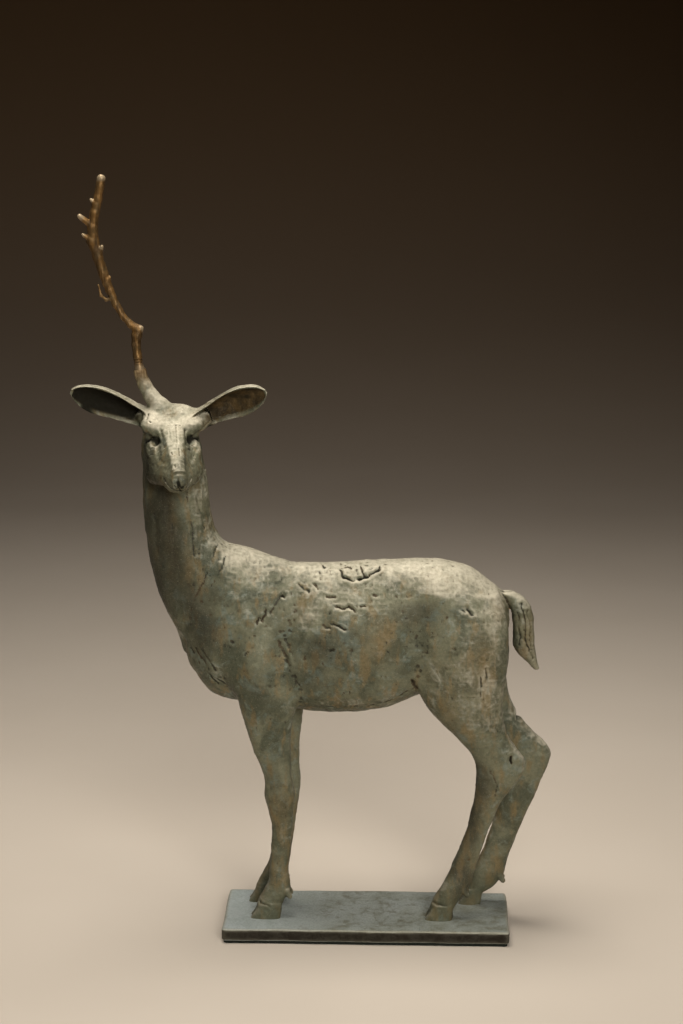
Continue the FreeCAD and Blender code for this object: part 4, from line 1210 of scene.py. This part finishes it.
def patina():
    """Grey-green patina: a painted highlight where it faces up and on its ridges, which also wear pale,
    ochre and dark in the hollows.
    """
    s = Shader("patina_bronze")
    blotch = s.noise(34, 3, 0.6, twist=0.6)
    cloud = s.noise(13, 4, 0.65, twist=0.8)
    speck = s.noise(2.6, 4, 0.7)
    grain = s.noise(0.9, 3, 0.7)
    streak = s.noise(9, 4, 0.65, stretch=(1.0, 1.0, 0.32))
    up = s.normal_z()
    colour = s.mix(s.span(blotch, 0.40, 0.62), GREEN, DEEP_GREEN)
    colour = s.mix(s.span(cloud, 0.50, 0.68, 0, 0.75), colour, BLUE_GREEN)
    colour = s.mix(s.span(streak, 0.50, 0.66, 0, 0.65), colour, OCHRE)
    colour = s.mix(s.math("MULTIPLY", s.mark("ochre"), s.span(cloud, 0.30, 0.60, 0.35, 0.85)), colour, OCHRE)
    # tone mark: patina tone with painted shade in hollows and painted light on lit tops, towards NIGHT.
    colour = s.mix(s.span(s.mark("tone_and_painted_light"), 0.0, 1.3, 0.0, 0.85), colour, NIGHT)
    # worn: painted highlight on up-facing surfaces and convex ridges, partly real wear on the ridges; it
    # pulls the colour towards PALE.
    worn = s.math("ADD", s.span(up, 0.0, 0.95, 0, 0.66), s.span(cloud, 0.35, 0.75, -0.16, 0.20))
    worn = s.math("SUBTRACT", worn, s.math("MULTIPLY", s.mark("tone_and_painted_light"), 0.42))
    worn = s.math("ADD", worn, s.span(s.mark("hollow"), 0.25, -0.9, -0.10, 0.22))
    worn = s.math("ADD", worn, s.span(s.mark("pocket"), 0.02, -0.06, 0.0, 0.16))
    colour = s.mix(s.span(worn, 0.02, 0.95), colour, PALE)
    recess = s.span(s.mark("pocket"), 0.015, 0.11, 0, 0.75)
    recess = s.math("ADD", recess, s.span(s.mark("hollow"), 0.3, 1.6, 0, 0.45))
    recess = s.math("MULTIPLY", recess, s.span(speck, 0.25, 0.60, 0.55, 1.0))
    colour = s.mix(s.span(recess, 0.03, 0.8), colour, s.mix(s.span(blotch, 0.45, 0.55), BROWN, NIGHT))
    colour = s.mix(s.span(speck, 0.34, 0.80, 0.0, 0.30), colour, DARK, "MULTIPLY")
    colour = s.mix(s.span(grain, 0.58, 0.72, 0.0, 0.30), colour, PALE)
    lined = s.mix(s.span(cloud, 0.38, 0.66), (0.070, 0.042, 0.014), (0.030, 0.019, 0.008))
    lined = s.mix(s.span(grain, 0.50, 0.72, 0.0, 0.6), lined, (0.17, 0.12, 0.055))
    colour = s.mix(s.span(s.mark("lining"), 0.1, 0.8, 0, 0.94), colour, lined)
    # dark mark: dark grooves, ear linings and stains, and painted shadow in the eye sockets.
    colour = s.mix(s.span(s.mark("dark"), 0.20, 1.15, 0, 0.97), colour, DARK)
    gold = s.mix(s.span(streak, 0.40, 0.62), (0.13, 0.075, 0.030), (0.33, 0.24, 0.13))
    colour = s.mix(s.span(s.mark("gold"), 0.0, 1.0), colour, gold)
    low = s.span(s.place_of("Z"), 0.20, 0.03)
    colour = s.mix(s.math("MULTIPLY", low, s.span(streak, 0.42, 0.60, 0.05, 0.40)), colour, OCHRE)
    colour = s.mix(s.span(s.place_of("Z"), 0.060, 0.020, 0.0, 0.45), colour, DEEP_GREEN)
    roughness = s.span(speck, 0.3, 0.7, 0.42, 0.62)
    roughness = s.math("ADD", roughness, s.span(s.mark("dark"), 0.2, 1.0, 0.0, 0.35))
    normal = s.bump(speck, 0.35)
    normal = s.bump(grain, 0.12, normal)
    return s.finish(colour, roughness, 0.12, normal)


def antler_bronze():
    """Warm golden-brown bronze with long streaks, dark between the ridges and rubbed pale on the knots."""
    s = Shader("antler_bronze")
    streak = s.noise(4, 4, 0.6, stretch=(1.0, 1.0, 0.16))
    blotch = s.noise(12, 3, 0.6)
    grain = s.noise(1.0, 3, 0.7)
    colour = s.mix(s.span(streak, 0.36, 0.66), (0.055, 0.030, 0.011), GOLD)
    colour = s.mix(s.span(blotch, 0.50, 0.68, 0, 0.6), colour, (0.085, 0.060, 0.028))
    colour = s.mix(s.span(s.mark("pocket"), 0.02, -0.12, 0, 0.40), colour, (0.42, 0.28, 0.13))
    colour = s.mix(s.span(s.mark("tip"), 0.1, 1.0, 0, 0.75), colour, (0.42, 0.33, 0.21))
    colour = s.mix(s.span(s.mark("dark"), 0.15, 0.9, 0, 0.85), colour, DARK)
    normal = s.bump(streak, 0.5)
    normal = s.bump(grain, 0.15, normal)
    return s.finish(colour, s.span(streak, 0.3, 0.7, 0.52, 0.40), 0.45, normal)


def plate_bronze():
    """Grey-green slab, with painted shade turning its sides dark brown and painted light making its left
    part pale blue-grey, pale along its worn edges, with a stony grain.
    """
    s = Shader("base_bronze")
    blotch = s.noise(40, 4, 0.65, twist=0.5)
    cloud = s.noise(9, 5, 0.7, twist=0.4)
    speck = s.noise(1.8, 4, 0.7)
    grain = s.noise(0.8, 3, 0.75)
    colour = s.mix(s.span(blotch, 0.38, 0.64), (0.345, 0.370, 0.340), (0.260, 0.275, 0.230))
    colour = s.mix(s.span(cloud, 0.42, 0.66, 0, 0.65), colour, (0.34, 0.36, 0.32))
    colour = s.mix(s.span(cloud, 0.50, 0.34, 0, 0.6), colour, (0.17, 0.155, 0.105))
    # side: painted shade, turning the slab's sides dark brown.
    side = s.span(s.math("ABSOLUTE", s.normal_z()), 0.75, 0.25)
    # blue: painted light, a pale blue-grey over the slab's left part.
    blue_and_painted_light = s.span(s.place_of("X"), -0.015, -0.105, 0.0, 0.60)
    colour = s.mix(blue_and_painted_light, colour, s.mix(s.span(cloud, 0.40, 0.62), (0.56, 0.62, 0.62), (0.40, 0.45, 0.44)))
    brown = s.mix(s.span(cloud, 0.40, 0.62), (0.016, 0.012, 0.007), (0.034, 0.030, 0.021))
    rim = s.span(s.mark("hollow"), -0.10, -0.75, 0, 0.60)
    rim = s.math("MULTIPLY", rim, s.span(s.normal_z(), 0.1, 0.6, 0.22, 1.0))
    colour = s.mix(side, colour, brown)
    colour = s.mix(rim, colour, (0.34, 0.32, 0.24))
    colour = s.mix(s.span(s.mark("dark"), 0.1, 0.5, 0, 0.7), colour, DARK)
    colour = s.mix(s.span(speck, 0.36, 0.80, 0.0, 0.30), colour, (0.03, 0.03, 0.025), "MULTIPLY")
    worn = s.math("MULTIPLY", s.span(grain, 0.60, 0.74, 0.0, 0.35), s.span(side, 0.0, 1.0, 1.0, 0.25))
    colour = s.mix(worn, colour, (0.40, 0.40, 0.34))
    normal = s.bump(speck, 0.30)
    normal = s.bump(grain, 0.12, normal)
    return s.finish(colour, s.span(cloud, 0.35, 0.65, 0.46, 0.62), 0.12, normal)


def plain(name, colour, spread, size, roughness, metallic, depth):
    """A finish with light and dark grain."""
    s = Shader(name)
    grain = s.noise(size, 4, 0.65)
    dim = tuple(c * (1 - spread) for c in colour)
    mixed = s.mix(s.span(grain, 0.35, 0.65), dim, colour)
    rough = s.span(s.noise(size * 4, 3, 0.6), 0.3, 0.7, roughness * 0.85, min(roughness * 1.15, 1.0))
    return s.finish(mixed, rough, metallic, s.bump(grain, depth))


def studio_floor():
    s = Shader("studio_paper")
    cloud = s.noise(220, 3, 0.5)
    colour = s.mix(s.span(cloud, 0.3, 0.7), (0.585, 0.512, 0.430), (0.600, 0.527, 0.445))
    # painted shade: the paper turns darker and browner towards the back wall, for the light's falloff.
    colour = s.mix(s.span(s.place_of("Y"), 0.9, 4.6), colour, (0.40, 0.24, 0.115))
    return s.finish(colour, s.span(cloud, 0.3, 0.7, 0.80, 0.88), 0.0, s.bump(s.noise(1.2, 3, 0.6), 0.03))


# ---------------------------------------------------------------- the statuette

SEAM_NECK_LOW = np.array((-185.0, 310.0))
SEAM_NECK_HIGH = np.array((-127.0, 343.0))
SEAM_FORE = 182.0
SEAM_HIND = 180.0
SEAM_TAIL = 119.5
SEAM_HEAD = 397.0       # height of the head's seam under the deer's midplane
SEAM_HEAD_TILT = 0.25   # it rises this much per mm towards the nape


def everywhere(points):
    """The region of a plane that counts without limit."""
    return np.ones(len(points), bool)


def plane_through(normal, point, region=everywhere):
    """A cutting plane: its normal, its offset and where it counts."""
    normal = np.array(normal, float) / np.linalg.norm(normal)
    return normal, float(normal @ np.array(point, float)), region


def flipped(plane):
    return -plane[0], -plane[1], plane[2]


def ear_planes(name):
    """The seam between an ear and the head, which faces out along the ear. The first plane only counts
    near the ear, for cutting it off the head. The others cut away all that isn't the ear."""
    root, tip, across = (np.array(v, float) for v in EARS[name])
    middle = (root + tip) / 2
    across = ear_directions(root, tip, across)[1]
    seam = root + EAR_SEAM * (tip - root)

    def region(points):
        return ((np.linalg.norm(points - middle, axis=1) < EAR_ZONE)
                & (np.abs((points - root) @ across) < EAR_ZONE_WIDTH))
    return [plane_through(tip - root, seam, region), plane_through(tip - root, seam),
            plane_through(-across, root + EAR_ZONE_WIDTH * across)]


def build_deer():
    """Torso, neck, head, legs, tail and ears, all cut from one surface along the founder's seams."""
    bronze = patina()
    rise = SEAM_NECK_HIGH - SEAM_NECK_LOW
    neck_plane = plane_through((-rise[1], 0, rise[0]), (SEAM_NECK_LOW[0], 0, SEAM_NECK_LOW[1]))
    head_plane = plane_through((0, -SEAM_HEAD_TILT, 1), (0, MIDPLANE_Y, SEAM_HEAD))
    skin = (relief,)
    antler_plane = plane_through(ANTLER_WAY, (-188, 5, ANTLER_SEAM))
    fine = 1.0

    def leg_box(name):
        stations, side, toe, heel = LEGS[name]
        front = min(min(s[1] for s in stations if s[0] < 200), toe) - 4
        back = max(max(s[2] for s in stations if s[0] < 200), heel) + 4
        middle = MIDPLANE_Y + side * 19
        return (front, middle - 16, PLATE_TOP - 3), (back, middle + 16, 192)

    torso_planes = [flipped(neck_plane),
                    plane_through((0, 0, 1), (0, 0, SEAM_FORE), lambda points: points[:, 0] < 0),
                    plane_through((0, 0, 1), (0, 0, SEAM_HIND), lambda points: points[:, 0] > 0),
                    plane_through((-1, 0, 0), (SEAM_TAIL, 0, 0), lambda points: points[:, 2] > 224)]
    casting("torso", deer_field, (-190, -40, 174), (126, 50, 352), 1.22 * fine, bronze,
            torso_planes, skin, ["torso_shell", "core_plugs"])
    casting("neck", deer_field, (-196, -32, 296), (-104, 42, 424), 0.95 * fine, bronze,
            [neck_plane, flipped(head_plane)], skin, "neck_shell")
    casting("head", deer_field, (-197, -76, 384), (-122, 38, 488), 0.6 * fine, bronze,
            [head_plane, flipped(antler_plane)] + [flipped(ear_planes(name)[0]) for name in EARS],
            (relief, head_relief, ear_relief), "head_shell")
    for name in LEGS:
        seam = SEAM_FORE if name.startswith("front") else SEAM_HIND
        low, high = leg_box(name)
        casting(name, deer_field, low, high, 0.85 * fine, bronze,
                [plane_through((0, 0, -1), (0, 0, seam)), plane_through((0, 0, 1), (0, 0, PLATE_TOP - 0.6))],
                skin, name)
    casting("tail", deer_field, (112, -12, 222), (150, 22, 300), 0.8 * fine, bronze,
            [plane_through((1, 0, 0), (SEAM_TAIL, 0, 0))], skin, "tail")
    for name, (root, tip, across) in EARS.items():
        low = np.minimum(root, tip) - (16, 14, 18)
        high = np.maximum(root, tip) + (16, 18, 16)
        casting(name, deer_field, low, high, 0.55 * fine, bronze, ear_planes(name)[1:],
                (relief, head_relief, ear_relief), name)


# Knots and broken ends that are rubbed pale: where, and how far the rubbing reaches.
RUBBED_KNOTS = [
    ((-234, 1, 607.2), 3.4),
    ((-232, 2, 592.5), 2.0),
    ((-186.2, 6.4, 515.8), 2.6),
    ((-224.6, 2, 620.5), 2.0),
    ((-217, 3.5, 582.5), 2.2),
]


def build_antler():
    gold = antler_bronze()
    voxel = 0.45 * 1.0
    seam = plane_through(ANTLER_WAY, (-188, 5, ANTLER_SEAM))
    thing = casting("antler", antler_field, (-242, -6, 474), (-178, 16, 644), voxel, gold, [seam], (bark,),
                    "antler")
    mesh = thing.data
    points = np.zeros(len(mesh.vertices) * 3, np.float32)
    mesh.vertices.foreach_get("co", points)
    points = points.reshape(-1, 3) / MM
    tip = np.clip((points[:, 2] - 634.0) / 4.0, 0, 1)
    for end, reach in RUBBED_KNOTS:
        away = np.linalg.norm(points - np.array(end), axis=1)
        tip = np.maximum(tip, np.clip(1.6 - away / reach, 0, 1))
    tip = np.maximum(tip, np.clip((490.0 - points[:, 2]) / 10.0, 0, 0.55))
    attribute = mesh.attributes.new("tip", "FLOAT", "POINT")
    attribute.data.foreach_set("value", tip.astype(np.float32))


def build_base():
    """The slab. Its pad, studs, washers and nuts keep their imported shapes."""
    casting("plate", plate_field, PLATE_LOW - 3, PLATE_HIGH + 3, 1.1, plate_bronze(), (), (plate_relief,),
            "base_plate")


def finish_inner_parts():
    """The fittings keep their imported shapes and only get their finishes."""
    felt = plain("felt", (0.020, 0.024, 0.018), 0.6, 0.8, 0.95, 0.0, 0.4)
    steel = plain("steel_fastener", (0.55, 0.55, 0.54), 0.25, 0.7, 0.35, 1.0, 0.03)
    raw = plain("raw_bronze", (0.60, 0.42, 0.22), 0.3, 0.9, 0.38, 1.0, 0.05)
    finishes = {"felt": felt, "steel_fastener": steel, "raw_bronze": raw}
    for part in frame["record"]["subparts"]:
        if part["material_slot"] in finishes:
            frame["nodes"][part["node"]].data.materials.clear()
            frame["nodes"][part["node"]].data.materials.append(finishes[part["material_slot"]])


# ---------------------------------------------------------------- stage, light, camera

CAMERA_AT = Vector((0.0362, -1.6977, 0.7122))
LOOK_ALONG = Vector((-0.0333, 0.9791, -0.2007))
LENS = 73.4
FLOOR_REACH = 6.0
SWEEP_FROM = 1.8
SWEEP_R = 3.0
WALL_TOP = 5.0


def add_light(name, place, aim, size, power, colour, spread):
    light = bpy.data.lights.new(name, "AREA")
    light.shape = "RECTANGLE"
    light.size, light.size_y = size
    light.energy = power
    light.color = colour
    light.spread = math.radians(spread)
    thing = bpy.data.objects.new(name, light)
    bpy.context.scene.collection.objects.link(thing)
    thing.location = place
    thing.rotation_euler = (Vector(aim) - Vector(place)).to_track_quat("-Z", "Y").to_euler()


def build_stage():
    """A sweep of paper: a level floor that curves up into a wall far behind the statuette."""
    profile = [(-FLOOR_REACH, 0.0), (SWEEP_FROM, 0.0)]
    profile += [(SWEEP_FROM + SWEEP_R * math.sin(turn), SWEEP_R * (1 - math.cos(turn)))
                for turn in np.linspace(0.0, math.pi / 2, 25)[1:].tolist()]
    profile.append((SWEEP_FROM + SWEEP_R, WALL_TOP))
    points = [(side * FLOOR_REACH, y, z) for y, z in profile for side in (-1, 1)]
    faces = [(2 * i, 2 * i + 1, 2 * i + 3, 2 * i + 2) for i in range(len(profile) - 1)]
    mesh = bpy.data.meshes.new("floor")
    mesh.from_pydata(points, [], faces)
    mesh.shade_smooth()
    mesh.materials.append(studio_floor())
    floor = bpy.data.objects.new("floor", mesh)
    bpy.context.scene.collection.objects.link(floor)

    world = bpy.data.worlds.new("studio")
    world.use_nodes = True
    world.node_tree.nodes["Background"].inputs["Color"].default_value = (0.004, 0.0028, 0.0018, 1.0)
    world.node_tree.nodes["Background"].inputs["Strength"].default_value = 1.0
    bpy.context.scene.world = world

    add_light("top", (-0.20, 0.02, 1.62), (-0.05, 0.0, 0.25), (0.9, 0.7), 11.4, (1.0, 0.95, 0.875), 128.0)
    add_light("front", (0.55, -2.0, 1.3), (0.0, 0.0, 0.25), (1.2, 1.2), 6.0, (1.0, 0.96, 0.90), 60.0)
    bpy.context.scene.view_settings.view_transform = "Standard"

    camera = bpy.data.cameras.new("camera")
    camera.lens = LENS
    camera.clip_end = 50.0
    thing = bpy.data.objects.new("camera", camera)
    bpy.context.scene.collection.objects.link(thing)
    thing.location = CAMERA_AT
    thing.rotation_euler = LOOK_ALONG.to_track_quat("-Z", "Y").to_euler()
    bpy.context.scene.camera = thing


build_deer()
build_antler()
build_base()
finish_inner_parts()
build_stage()
bpy.context.view_layer.update()
